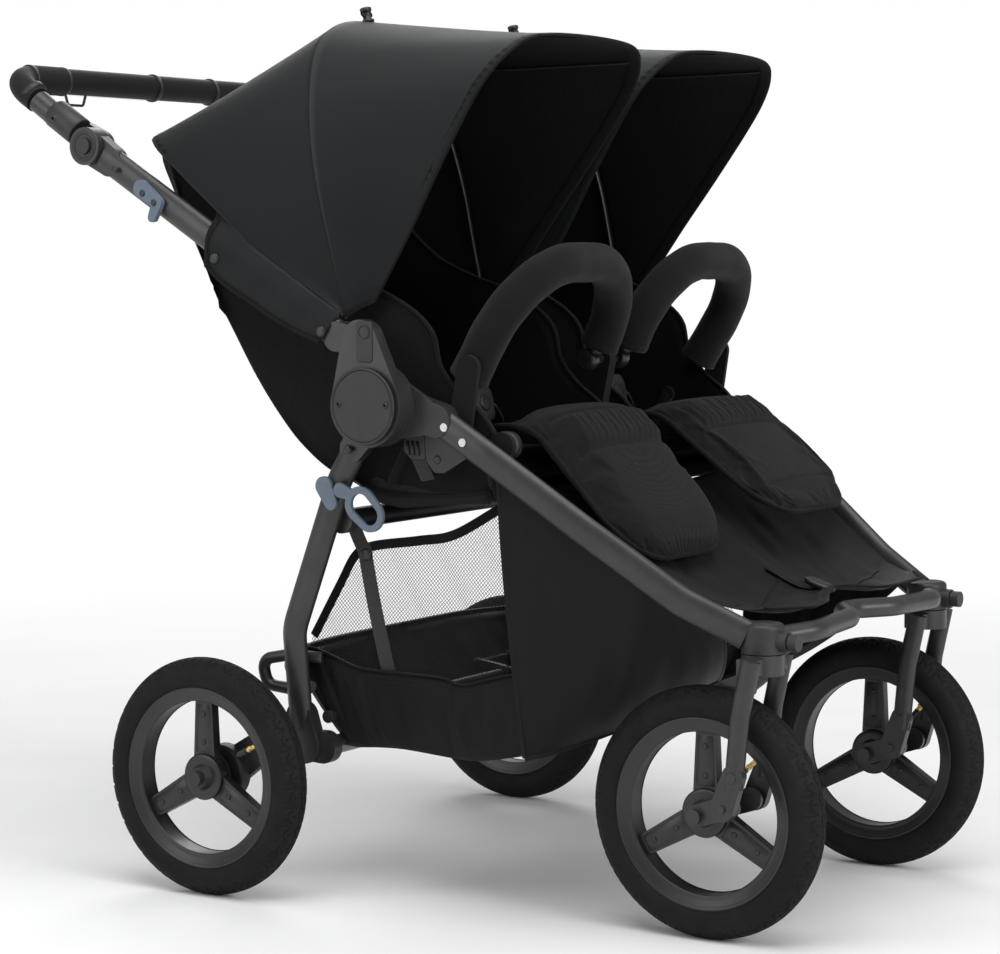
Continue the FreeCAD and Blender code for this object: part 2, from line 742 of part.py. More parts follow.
def footwell():
    """Cloth panel from below the leg rests to the front cross tube."""
    outline = [(-500, 378), (-614, 398), (-700, 383), (-700, 378), (-614, 393), (-500, 373)]
    ring = [at(-222, *place) for place in outline]
    keep("footwell", Part.Face(Part.makePolygon(ring + ring[:1])).extrude(Vector(444, 0, 0)))


def basket_slab(half_width, corners):
    """A closed block with the basket's side outline, half_width to each side."""
    ring = [at(-half_width, *place) for place in corners]
    return Part.Face(Part.makePolygon(ring + ring[:1])).extrude(Vector(2 * half_width, 0, 0))


def basket():
    """Open-topped cloth basket slung between the frames, narrower between the front wheels."""
    main = [(-152, 300), (-170, 202), (-330, 194), (-462, 216), (-462, 362), (-392, 420), (-190, 420)]
    nose = [(-461, 216), (-612, 290), (-620, 372), (-500, 362), (-461, 362)]
    wide = 280
    narrow = 186
    outside = fuse([basket_slab(wide, main), basket_slab(narrow, nose)])
    core_main = [(-156, 300), (-173, 206), (-330, 198), (-458, 220), (-458, 460), (-160, 460)]
    core_nose = [(-457, 220), (-608, 293), (-616, 368), (-500, 358), (-457, 358)]
    inside = fuse([basket_slab(wide - CLOTH, core_main), basket_slab(narrow - CLOTH, core_nose)])
    keep("basket", outside.cut(inside))


footwell()
basket()

# ---------------------------------------------------------------- check and export

doc.recompute()
for item in doc.Objects:
    if "Invalid" in item.State or "Error" in item.State:
        raise RuntimeError(f"{item.Label} did not compute")
os.makedirs("parts", exist_ok=True)
for node in NODES:
    if node.Shape.isNull() or not node.Shape.isValid():
        raise RuntimeError(f"{node.Label} has no valid shape")
    node.Shape.exportStep(f"parts/{node.Label}.step")
print(len(NODES), "sub-parts")
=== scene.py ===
import bpy
import bmesh
import math
import random
from mathutils import Matrix, Vector


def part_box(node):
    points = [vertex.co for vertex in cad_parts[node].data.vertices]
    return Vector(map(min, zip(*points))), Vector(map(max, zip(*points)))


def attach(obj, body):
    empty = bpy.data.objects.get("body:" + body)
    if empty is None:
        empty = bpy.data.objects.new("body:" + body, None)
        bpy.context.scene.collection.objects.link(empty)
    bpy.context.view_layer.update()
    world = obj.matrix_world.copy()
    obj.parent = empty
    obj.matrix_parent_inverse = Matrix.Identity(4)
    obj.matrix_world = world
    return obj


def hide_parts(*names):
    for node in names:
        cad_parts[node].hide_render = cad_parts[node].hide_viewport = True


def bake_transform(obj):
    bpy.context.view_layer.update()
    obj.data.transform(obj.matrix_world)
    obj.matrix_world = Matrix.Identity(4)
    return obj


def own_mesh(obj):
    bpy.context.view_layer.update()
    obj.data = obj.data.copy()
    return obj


# The looks of a side-by-side stroller, built round its CAD frame. Side-view places are in
# millimetres, as (behind the rear axle, above the ground), the way the frame is drawn.

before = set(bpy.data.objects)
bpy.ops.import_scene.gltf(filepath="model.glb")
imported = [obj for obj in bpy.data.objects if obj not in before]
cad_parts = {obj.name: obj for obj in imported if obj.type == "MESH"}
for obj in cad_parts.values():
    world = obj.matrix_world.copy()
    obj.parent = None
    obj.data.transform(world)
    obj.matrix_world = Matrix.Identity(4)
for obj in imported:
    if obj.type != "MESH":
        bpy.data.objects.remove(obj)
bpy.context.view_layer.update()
random.seed(7)

MM = 0.001
SIDES = {"left": -1, "right": 1}


def middle(node):
    low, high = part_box(node)
    return (Vector(low) + Vector(high)) / 2


REAR_AXLE = middle("left_rear_hub")


def at(x, back, up):
    """A point from a side-view place, in metres."""
    return Vector((x * MM, REAR_AXLE.y + back * MM, up * MM))


# ---------------------------------------------------------------- mesh helpers

def spline(points, count):
    """Evenly numbered points on a smooth curve through a few given ones."""
    points = [Vector(point) for point in points]
    ends = [2 * points[0] - points[1]] + points + [2 * points[-1] - points[-2]]
    spans = len(points) - 1
    line = []
    for step in range(count):
        place = step / (count - 1) * spans
        span = min(int(place), spans - 1)
        t = place - span
        a, b, c, d = ends[span:span + 4]
        line.append(0.5 * ((2 * b) + (c - a) * t + (2 * a - 5 * b + 4 * c - d) * t ** 2
                           + (3 * b - a - 3 * c + d) * t ** 3))
    return line


def even(points, step):
    """The same path, as points one step apart."""
    line = [points[0].copy()]
    left = step
    for a, b in zip(points, points[1:]):
        run = (b - a).length
        done = 0
        while run - done >= left:
            done += left
            line.append(a.lerp(b, done / run))
            left = step
        left -= run - done
    return line


def new_piece(name, verts, faces, material, smooth=True):
    mesh = bpy.data.meshes.new(name)
    mesh.from_pydata([tuple(v) for v in verts], [], faces)
    mesh.materials.append(material)
    mesh.update()
    piece = bpy.data.objects.new(name, mesh)
    bpy.context.collection.objects.link(piece)
    mesh.shade_smooth() if smooth else mesh.shade_flat()
    return piece


def grid(name, rows, material, round_rows=False, round_columns=False):
    """A sheet through rows of points, with UVs in metres."""
    wide, tall = len(rows[0]), len(rows)
    verts = [point for row in rows for point in row]
    faces = []
    corners = []
    for j in range(tall if round_columns else tall - 1):
        for i in range(wide if round_rows else wide - 1):
            i2, j2 = (i + 1) % wide, (j + 1) % tall
            faces.append((j * wide + i, j * wide + i2, j2 * wide + i2, j2 * wide + i))
            corners.append(((i, j), (i + 1, j), (i + 1, j + 1), (i, j + 1)))
    along = [0.0]
    middle_row = rows[tall // 2]
    for a, b in zip(middle_row, middle_row[1:] + middle_row[:1]):
        along.append(along[-1] + (b - a).length)
    up = [0.0]
    middle_column = [row[wide // 2] for row in rows]
    for a, b in zip(middle_column, middle_column[1:] + middle_column[:1]):
        up.append(up[-1] + (b - a).length)
    piece = new_piece(name, verts, faces, material)
    layer = piece.data.uv_layers.new(name="cloth")
    layer.data.foreach_set("uv",
                           [value for quad in corners for i, j in quad for value in (along[i], up[j])])
    return piece


def rings_along(path, outline, up=Vector((0, 0, 1)), scale=None):
    """Copies of a flat outline carried along a path without twisting; up sets the first one's lie."""
    rings = []
    side = None
    for index, point in enumerate(path):
        ahead = path[min(index + 1, len(path) - 1)] - path[max(index - 1, 0)]
        ahead.normalize()
        if side is None:
            side = ahead.cross(up)
            if side.length < 1e-4:
                side = ahead.cross(Vector((0, 1, 0)))
        side = (side - ahead * side.dot(ahead)).normalized()
        over = side.cross(ahead).normalized()
        grow = scale(index / (len(path) - 1)) if scale else 1
        rings.append([point + side * (a * grow) + over * (b * grow) for a, b in outline])
    return rings


def circle(radius, sides=12):
    return [(radius * math.cos(t), radius * math.sin(t)) for t in
            (2 * math.pi * k / sides for k in range(sides))]


def oval(wide, tall, sides=16, power=2.0):
    """A rounded outline: power 2 is an ellipse and more is squarer."""
    outline = []
    for k in range(sides):
        t = 2 * math.pi * k / sides
        c, s = math.cos(t), math.sin(t)
        outline.append((wide / 2 * math.copysign(abs(c) ** (2 / power), c),
                        tall / 2 * math.copysign(abs(s) ** (2 / power), s)))
    return outline


def tube(name, path, outline, material, up=Vector((0, 0, 1)), scale=None, loop=False):
    """A bar of the given outline along a path, closed at both ends."""
    rings = rings_along(path, outline, up, scale)
    piece = grid(name, rings, material, round_rows=True, round_columns=loop)
    if not loop:
        cap(piece, len(outline), len(rings))
    return piece


def cap(piece, wide, tall):
    """Closes the two open ends of a tube made by grid."""
    shape = bmesh.new()
    shape.from_mesh(piece.data)
    shape.verts.ensure_lookup_table()
    shape.faces.new([shape.verts[i] for i in reversed(range(wide))])
    shape.faces.new([shape.verts[(tall - 1) * wide + i] for i in range(wide)])
    shape.to_mesh(piece.data)
    shape.free()


def lathe(name, profile, centre, axis, material, segments=24):
    """A turned piece: profile is (distance along the axis, radius) in metres."""
    axis = axis.normalized()
    side = axis.orthogonal().normalized()
    over = axis.cross(side)
    rows = []
    for reach, radius in profile:
        radius = max(radius, 1e-5)
        rows.append([centre + axis * reach + side * (radius * math.cos(t)) + over * (radius * math.sin(t))
                     for t in (2 * math.pi * k / segments for k in range(segments))])
    piece = grid(name, rows, material, round_rows=True)
    cap(piece, segments, len(rows))
    return piece


def join(name, pieces):
    """One object out of several."""
    shape = bmesh.new()
    for piece in pieces:
        start = len(shape.verts)
        shape.from_mesh(piece.data)
        shape.verts.ensure_lookup_table()
        for vert in shape.verts[start:]:
            vert.co = piece.matrix_world @ vert.co
    first = pieces[0]
    shape.to_mesh(first.data)
    shape.free()
    first.name = name
    first.data.name = name
    for piece in pieces[1:]:
        bpy.data.objects.remove(piece)
    return first


def thicken(piece, thickness, offset=0, inner=None):
    """Gives a sheet its thickness; inner is the material of its other face."""
    shell = piece.modifiers.new("thickness", "SOLIDIFY")
    shell.thickness = thickness
    shell.offset = offset
    shell.use_even_offset = True
    if inner:
        piece.data.materials.append(inner)
        shell.material_offset = 1
        shell.material_offset_rim = 0
    return piece


def put(piece, body, replaces=()):
    """Fastens a finished piece to its body."""
    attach(piece, body)
    if replaces:
        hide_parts(*replaces)
    return piece


# ---------------------------------------------------------------- materials

class Shader:
    """A short way to write a node material: wires are made by naming sockets."""

    def __init__(self, name, colour, roughness, metallic=0.0):
        self.material = bpy.data.materials.new(name)
        self.material.use_nodes = True
        self.tree = self.material.node_tree
        self.surface = self.tree.nodes["Principled BSDF"]
        self.surface.inputs["Base Color"].default_value = (*colour, 1)
        self.surface.inputs["Roughness"].default_value = roughness
        self.surface.inputs["Metallic"].default_value = metallic

    def node(self, kind, **settings):
        made = self.tree.nodes.new("ShaderNode" + kind)
        for key, value in settings.items():
            if key in made.inputs:
                made.inputs[key].default_value = value
            else:
                setattr(made, key, value)
        return made

    def wire(self, source, target):
        self.tree.links.new(source, target)

    def math(self, operation, a, b=None):
        made = self.node("Math", operation=operation)
        for socket, value in zip(made.inputs, (a, b)):
            if isinstance(value, bpy.types.NodeSocket):
                self.wire(value, socket)
            elif value is not None:
                socket.default_value = value
        return made.outputs[0]

    def place(self, uv=False):
        return self.node("TexCoord").outputs["UV" if uv else "Object"]

    def noise(self, where, scale, detail=3.0, roughness=0.55):
        made = self.node("TexNoise", Scale=scale, Detail=detail, Roughness=roughness)
        self.wire(where, made.inputs["Vector"])
        return made.outputs["Fac"]

    def ramp(self, value, low, high, dark, light):
        made = self.node("ValToRGB")
        stops = made.color_ramp.elements
        stops[0].position, stops[1].position = low, high
        stops[0].color, stops[1].color = (*dark, 1), (*light, 1)
        self.wire(value, made.inputs["Fac"])
        return made.outputs["Color"]

    def span(self, value, low, high):
        """Scales a 0 to 1 value into low to high."""
        made = self.node("MapRange")
        made.inputs["To Min"].default_value = low
        made.inputs["To Max"].default_value = high
        self.wire(value, made.inputs["Value"])
        return made.outputs["Result"]

    def bump(self, height, depth, strength=1.0, after=None):
        made = self.node("Bump", Strength=strength, Distance=depth)
        self.wire(height, made.inputs["Height"])
        if after:
            self.wire(after, made.inputs["Normal"])
        return made.outputs["Normal"]

    def colour(self, output):
        self.wire(output, self.surface.inputs["Base Color"])

    def roughness(self, output):
        self.wire(output, self.surface.inputs["Roughness"])

    def normal(self, output):
        self.wire(output, self.surface.inputs["Normal"])

    def fixed(self, **values):
        for key, value in values.items():
            self.surface.inputs[key.replace("_", " ")].default_value = value


def powder_coat(name, dark, light, roughness):
    """Satin black powder coat with a fine orange-peel skin."""
    s = Shader(name, dark, roughness)
    where = s.place()
    s.colour(s.ramp(s.noise(where, 35, 4), 0.35, 0.7, dark, light))
    s.roughness(s.span(s.noise(where, 90, 3), roughness - 0.07, roughness + 0.07))
    edge = s.node("Bevel", Radius=0.0008, samples=4)
    fine = s.bump(s.noise(where, 1900, 2), 0.00006, 0.5, edge.outputs["Normal"])
    s.normal(fine)
    s.fixed(Coat_Weight=0.12, Coat_Roughness=0.35)
    return s.material


def plastic(name, dark, light, roughness, grain=0.00008):
    """Moulded plastic with a spark-eroded grain and slightly worn edges."""
    s = Shader(name, dark, roughness)
    where = s.place()
    edge = s.node("Bevel", Radius=0.0012, samples=4)
    s.colour(s.ramp(s.noise(where, 60, 5), 0.3, 0.75, dark, light))
    s.roughness(s.span(s.noise(where, 150, 3), roughness - 0.06, roughness + 0.08))
    cells = s.node("TexVoronoi", Scale=1300.0)
    s.wire(where, cells.inputs["Vector"])
    s.normal(s.bump(cells.outputs["Distance"], grain, 0.5, edge.outputs["Normal"]))
    return s.material


def rubber(name, dark, light):
    """Tyre rubber with faint random dusty mottling and scuffs."""
    s = Shader(name, dark, 0.72)
    where = s.place()
    s.colour(s.ramp(s.noise(where, 26, 6, 0.65), 0.35, 0.72, dark, light))
    s.roughness(s.span(s.noise(where, 120, 4), 0.62, 0.86))
    s.normal(s.bump(s.noise(where, 700, 4), 0.0002, 0.55))
    s.fixed(Specular_IOR_Level=0.22)
    return s.material


def metal(name, dark, light, roughness, brushed=(1, 1, 1)):
    """Bare metal with fine streaks; brushed stretches them across an axis."""
    s = Shader(name, dark, roughness, 1.0)
    stretch = s.node("Mapping")
    stretch.inputs["Scale"].default_value = brushed
    s.wire(s.place(), stretch.inputs["Vector"])
    streaks = s.noise(stretch.outputs["Vector"], 300, 4)
    s.colour(s.ramp(streaks, 0.3, 0.7, dark, light))
    s.roughness(s.span(streaks, roughness - 0.08, roughness + 0.1))
    s.normal(s.bump(streaks, 0.00005, 0.4))
    return s.material


YARN_MIX = (0.42, 0.68)


def cloth(name, dark, light, pitch, sheen, uv=True, wrinkle=0.0, rough=0.9):
    """Plain weave of two yarn colours. Pitch is the thread spacing in metres; wrinkle is the
    depth of its soft creases. Pieces without UVs take the weave from all three directions."""
    s = Shader(name, dark, rough)
    where = s.place(uv)
    axes = s.node("SeparateXYZ")
    s.wire(where, axes.inputs["Vector"])
    turns = 2 * math.pi / pitch
    waves = [s.math("SINE", s.math("MULTIPLY", axes.outputs[k], turns)) for k in range(2 if uv else 3)]
    weave = s.math("MULTIPLY", waves[0], waves[1])
    if not uv:
        weave = s.math("ADD", weave, s.math("MULTIPLY", waves[1], waves[2]))
        weave = s.math("ADD", weave, s.math("MULTIPLY", waves[2], waves[0]))
    long_yarns = s.node("Mapping")
    long_yarns.inputs["Scale"].default_value = (1, 0.22, 1)
    s.wire(where, long_yarns.inputs["Vector"])
    yarn = s.noise(long_yarns.outputs["Vector"], 0.55 / pitch, 3, 0.7)
    cross = s.node("Mapping")
    cross.inputs["Scale"].default_value = (0.22, 1, 1)
    s.wire(where, cross.inputs["Vector"])
    weft = s.noise(cross.outputs["Vector"], 0.55 / pitch, 3, 0.7)
    mixed = s.math("MULTIPLY", s.math("ADD", yarn, weft), 0.5)
    tone = s.math("ADD", mixed, s.math("MULTIPLY", weave, 0.05))
    s.colour(s.ramp(tone, *YARN_MIX, dark, light))
    s.roughness(s.span(mixed, rough - 0.08, min(rough + 0.08, 1)))
    height = s.math("ADD", weave, s.math("MULTIPLY", mixed, 1.5))
    creases = None
    if wrinkle:
        drape = s.noise(s.place(), 14, 3, 0.5)
        creases = s.bump(drape, wrinkle, 0.6)
    s.normal(s.bump(height, pitch * 0.3, 0.5, creases))
    s.fixed(Sheen_Weight=sheen, Sheen_Roughness=0.45, Specular_IOR_Level=0.16)
    s.surface.inputs["Sheen Tint"].default_value = (0.85, 0.85, 0.86, 1)
    return s.material


def ribbed(name, dark, light, pitch):
    """Webbing: cords that run along the strap's length, with painted shade: darker in the grooves between
    cords, lighter on their crests.
    """
    s = Shader(name, dark, 0.75)
    axes = s.node("SeparateXYZ")
    s.wire(s.place(True), axes.inputs["Vector"])
    across = s.math("SINE", s.math("MULTIPLY", axes.outputs[0], 2 * math.pi / pitch))
    along = s.math("SINE", s.math("MULTIPLY", axes.outputs[1], 1.2 * math.pi / pitch))
    height = s.math("ADD", across, s.math("MULTIPLY", along, 0.6))
    # painted shade: the colour follows the cords' relief, darker in the grooves and lighter on the crests
    s.colour(s.ramp(s.math("ADD", s.math("MULTIPLY", height, 0.25), 0.5), 0.1, 0.9, dark, light))
    s.normal(s.bump(height, 0.0003, 0.7))
    s.fixed(Sheen_Weight=0.15)
    return s.material


COAT = powder_coat("frame_powder_coat", (0.015, 0.015, 0.0152), (0.024, 0.024, 0.0245), 0.4)
RIM = powder_coat("rim_satin", (0.007, 0.007, 0.0072), (0.011, 0.011, 0.0112), 0.4)
PLASTIC = plastic("black_plastic", (0.012, 0.012, 0.0122), (0.019, 0.019, 0.0193), 0.5)
SMOOTH = plastic("smooth_plastic", (0.010, 0.010, 0.011), (0.015, 0.015, 0.016), 0.36, 0.00003)
ACCENT = plastic("blue_grey_plastic", (0.085, 0.115, 0.155), (0.115, 0.15, 0.195), 0.45)
RUBBER = rubber("tyre_rubber", (0.0045, 0.0045, 0.0046), (0.009, 0.009, 0.0092))
ALUMINIUM = metal("satin_aluminium", (0.30, 0.30, 0.32), (0.42, 0.42, 0.44), 0.34, (0.1, 1, 1))
STEEL = metal("bolt_steel", (0.52, 0.52, 0.54), (0.68, 0.68, 0.70), 0.22)
BRASS = metal("valve_brass", (0.62, 0.40, 0.12), (0.78, 0.54, 0.20), 0.3)
CANOPY = cloth("canopy_heather", (0.0028, 0.0027, 0.0026), (0.0105, 0.0102, 0.0100), 0.0011, 0.04)
LINING = cloth("canopy_lining", (0.004, 0.0052, 0.0056), (0.007, 0.0092, 0.0100), 0.0007, 0.16, rough=0.6)
SEAT = cloth("seat_cloth", (0.0034, 0.0034, 0.0035), (0.0100, 0.0100, 0.0101), 0.0010, 0.07, uv=False,
             wrinkle=0.0015)
PIPING = cloth("seat_piping", (0.003, 0.003, 0.0031), (0.0075, 0.0075, 0.0077), 0.0008, 0.06)
WRAP = cloth("bumper_wrap", (0.0045, 0.0045, 0.0046), (0.0095, 0.0095, 0.0096), 0.0008, 0.1)
NYLON = cloth("basket_nylon", (0.004, 0.004, 0.0041), (0.0065, 0.0065, 0.0066), 0.0006, 0.04,
              wrinkle=0.004, rough=0.48)
MESH = cloth("mesh_yarn", (0.012, 0.012, 0.013), (0.022, 0.022, 0.024), 0.0006, 0.1, uv=False, rough=0.6)
WEBBING = ribbed("webbing", (0.007, 0.007, 0.008), (0.022, 0.022, 0.024), 0.0018)
THREAD = cloth("stitching", (0.018, 0.018, 0.020), (0.034, 0.034, 0.037), 0.0005, 0.2, uv=False)
GRIP = cloth("grip_leather", (0.008, 0.008, 0.0085), (0.013, 0.013, 0.014), 0.0016, 0.05, rough=0.62)


UPPER_TUBES = 0.25  # cross tubes higher than this, in metres, are coated black


def wear(nodes, material):
    """Gives CAD pieces that stay their finish."""
    for node in nodes:
        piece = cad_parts[node]
        for place in piece.material_slots:
            place.material = material


def pair(*names):
    """The left and right nodes of each name."""
    return [f"{side_name}_{name}" for name in names for side_name in SIDES]


def both_sides(build):
    """Builds a piece on the left and on the right."""
    for side_name, side in SIDES.items():
        build(side_name, side)


wear(pair("rail", "upright", "fork") + ["front_cross_tube", "rear_legs", "handlebar"], COAT)
wear(["seat_frame"], WRAP)
wear(pair("front_rim", "rear_rim"), RIM)
wear(pair("hub_housing", "swivel_lock", "rear_arm", "front_hub", "rear_hub"), PLASTIC)
wear(pair("tilt_button") + ["swivel_heads", "brake_pedal", "hub_covers", "harness_buckles"], PLASTIC)
wear(pair("fold_trigger") + ["fold_latch", "latch_bracket"], ACCENT)
wear(pair("front_link"), COAT)
wear(["frame_fasteners"], STEEL)
wear(["rear_cross_tubes"], ALUMINIUM)
cross_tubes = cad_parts["rear_cross_tubes"]
cross_tubes.data.materials.append(COAT)
for face in cross_tubes.data.polygons:
    if (cross_tubes.matrix_world @ face.center).z > UPPER_TUBES:
        face.material_index = len(cross_tubes.data.materials) - 1


# ---------------------------------------------------------------- camera, lights and floor

VIEW_AZIMUTH, VIEW_DROP, VIEW_ROLL = (math.radians(angle) for angle in (-57.29, 4.728, -0.283))
VIEW_PLACE = (-3.0236, -1.9235, 0.8056)
VIEW_LENS, SENSOR_WIDTH = 98.86, 36
FLOOR_REACH = 14
FADE_START, FADE_END = 0.9, 3.2
ROOM_LIGHT = 0.36


def aim_camera():
    """The photograph's viewing angle."""
    level = Vector((math.cos(VIEW_AZIMUTH), math.sin(VIEW_AZIMUTH), 0))
    behind = Vector((math.sin(VIEW_AZIMUTH) * math.cos(VIEW_DROP),
                     -math.cos(VIEW_AZIMUTH) * math.cos(VIEW_DROP),
                     math.sin(VIEW_DROP)))
    tall = behind.cross(level)
    right = level * math.cos(VIEW_ROLL) + tall * math.sin(VIEW_ROLL)
    up = tall * math.cos(VIEW_ROLL) - level * math.sin(VIEW_ROLL)
    view = bpy.data.cameras.new("view")
    view.sensor_width = SENSOR_WIDTH
    view.lens = VIEW_LENS
    camera = bpy.data.objects.new("view", view)
    turn = Matrix((right, up, behind)).transposed().to_4x4()
    camera.matrix_world = Matrix.Translation(Vector(VIEW_PLACE)) @ turn
    bpy.context.collection.objects.link(camera)
    bpy.context.scene.camera = camera


def softbox(name, place, aim, wide, tall, power, tone=(1, 1, 1)):
    """A soft rectangular lamp that faces a point."""
    lamp = bpy.data.lights.new(name, "AREA")
    lamp.shape = "RECTANGLE"
    lamp.size, lamp.size_y = wide, tall
    lamp.energy = power
    lamp.color = tone
    item = bpy.data.objects.new(name, lamp)
    item.location = place
    item.rotation_euler = (Vector(aim) - Vector(place)).to_track_quat("-Z", "Y").to_euler()
    bpy.context.collection.objects.link(item)


def room():
    """A white backdrop that lights the object only dimly."""
    world = bpy.data.worlds.new("studio")
    world.use_nodes = True
    tree = world.node_tree
    dim = tree.nodes["Background"]
    dim.inputs["Color"].default_value = (1, 1, 1, 1)
    dim.inputs["Strength"].default_value = ROOM_LIGHT
    seen = tree.nodes.new("ShaderNodeBackground")
    seen.inputs["Color"].default_value = (1, 1, 1, 1)
    kind = tree.nodes.new("ShaderNodeLightPath")
    blend = tree.nodes.new("ShaderNodeMixShader")
    tree.links.new(kind.outputs["Is Camera Ray"], blend.inputs[0])
    tree.links.new(dim.outputs[0], blend.inputs[1])
    tree.links.new(seen.outputs[0], blend.inputs[2])
    tree.links.new(blend.outputs[0], tree.nodes["World Output"].inputs["Surface"])
    bpy.context.scene.world = world
    bpy.context.scene.view_settings.view_transform = "Standard"


def paper_floor():
    """A pale floor that fades to white away from the object."""
    paper = Shader("floor_paper", (0.82, 0.82, 0.82), 0.85)
    where = paper.place()
    paper.colour(paper.ramp(paper.noise(where, 3, 2), 0.3, 0.7, (0.80, 0.80, 0.80), (0.84, 0.84, 0.84)))
    far = paper.node("VectorMath", operation="LENGTH")
    paper.wire(where, far.inputs[0])
    fade = paper.node("MapRange", interpolation_type="SMOOTHSTEP")
    fade.inputs["From Min"].default_value = FADE_START
    fade.inputs["From Max"].default_value = FADE_END
    paper.wire(far.outputs["Value"], fade.inputs["Value"])
    white = paper.node("Emission")
    both_kinds = paper.node("MixShader")
    paper.wire(fade.outputs["Result"], both_kinds.inputs[0])
    paper.wire(paper.surface.outputs[0], both_kinds.inputs[1])
    paper.wire(white.outputs[0], both_kinds.inputs[2])
    paper.wire(both_kinds.outputs[0], paper.tree.nodes["Material Output"].inputs["Surface"])
    corners = [(x * FLOOR_REACH, y * FLOOR_REACH, 0) for x, y in ((-1, -1), (1, -1), (1, 1), (-1, 1))]
    floor = new_piece("floor", corners, [(0, 1, 2, 3)], paper.material, smooth=False)


aim_camera()
softbox("key_light", (-0.9, -0.7, 3.4), (0, 0, 0.4), 3.0, 3.0, 95)
softbox("side_light", (-2.9, 1.6, 1.7), (0, 0.1, 0.6), 1.2, 2.2, 26, (0.96, 0.98, 1))
softbox("front_light", (-0.6, -3.6, 1.6), (0, -0.2, 0.6), 2.0, 1.2, 62)
softbox("back_light", (2.4, 2.0, 2.4), (0, 0, 0.7), 2.0, 1.6, 40)
room()
paper_floor()


# ---------------------------------------------------------------- wheels

WHEEL_RADIUS = REAR_AXLE.z
TREAD_BLOCKS = 38


def tread_depth(turn, across):
    """How far the tread is cut back, from 0 to 1, at a turn round the tyre and a place across it."""
    wave = turn * TREAD_BLOCKS + (0.5 if across > 0 else 0)
    reach = abs(across)
    place = wave - math.floor(wave)
    arch = abs(reach - 0.46 - 0.36 * math.sin(math.pi * place)) < 0.045
    stem = place < 0.07 and 0.46 < reach < 1.2
    sipe = abs(place - 0.5 - 0.3 * (reach - 0.55)) < 0.06 and 0.42 < reach < 0.66
    short = abs(place - 0.78) < 0.06 and 0.84 < reach < 1.0
    centre = abs(reach - 0.17 - 0.05 * math.sin(2 * math.pi * wave)) < 0.035
    slit = reach < 0.1 and (wave * 2) % 1 < 0.16
    return 1.0 if arch or stem or sipe or short or centre or slit else 0.0


def tyre_mesh():
    """Air-filled tyre with a blocky tread, about the origin with its axle on X."""
    half = 23 * MM
    flank = [(-15, 113), (-18.5, 114), (-21.5, 118), (-23, 125), (-22.6, 131), (-20.5, 136.5)]
    around = 570
    across_steps = 32
    rows = []
    for k in range(around):
        turn = k / around
        section = [(x * MM, r * MM) for x, r in flank]
        for j in range(across_steps + 1):
            across = -1 + 2 * j / across_steps
            x = across * 19 * MM
            crown = WHEEL_RADIUS - 11.5 * MM * abs(across) ** 2.3
            section.append((x, crown - 1.7 * MM * tread_depth(turn, across)))
        section += [(-x * MM, r * MM) for x, r in reversed(flank)]
        c, s = math.cos(2 * math.pi * turn), math.sin(2 * math.pi * turn)
        rows.append([Vector((min(max(x, -half), half), r * c, r * s)) for x, r in section])
    piece = grid("tyre", rows, RUBBER, round_rows=True, round_columns=True)
    piece.data.set_sharp_from_angle(angle=math.radians(38))
    mesh = piece.data
    bpy.data.objects.remove(piece)
    return mesh


def valve(name, centre, angle, side):
    """Brass valve stem with a black cap, leaning in from the rim."""
    out = Vector((0, math.cos(angle), math.sin(angle)))
    foot = centre + out * (97 * MM) + Vector((side * 3 * MM, 0, 0))
    lean = (-out + Vector((side * 0.35, 0, 0))).normalized()
    stem = lathe(name, [(0, 0.0044), (0.002, 0.0044), (0.003, 0.0030), (0.013, 0.0028), (0.0135, 0.0034),
                        (0.016, 0.0034), (0.017, 0.0027), (0.021, 0.0027)], foot, lean, BRASS, 18)
    ridges = [(0, 0.0036)]
    for k in range(5):
        ridges += [(0.001 + k * 0.002, 0.0037), (0.002 + k * 0.002, 0.0034)]
    ridges += [(0.012, 0.0032), (0.013, 0.002)]
    top = lathe(name + "_cap", ridges, foot + lean * 0.019, lean, SMOOTH, 14)
    return stem, top


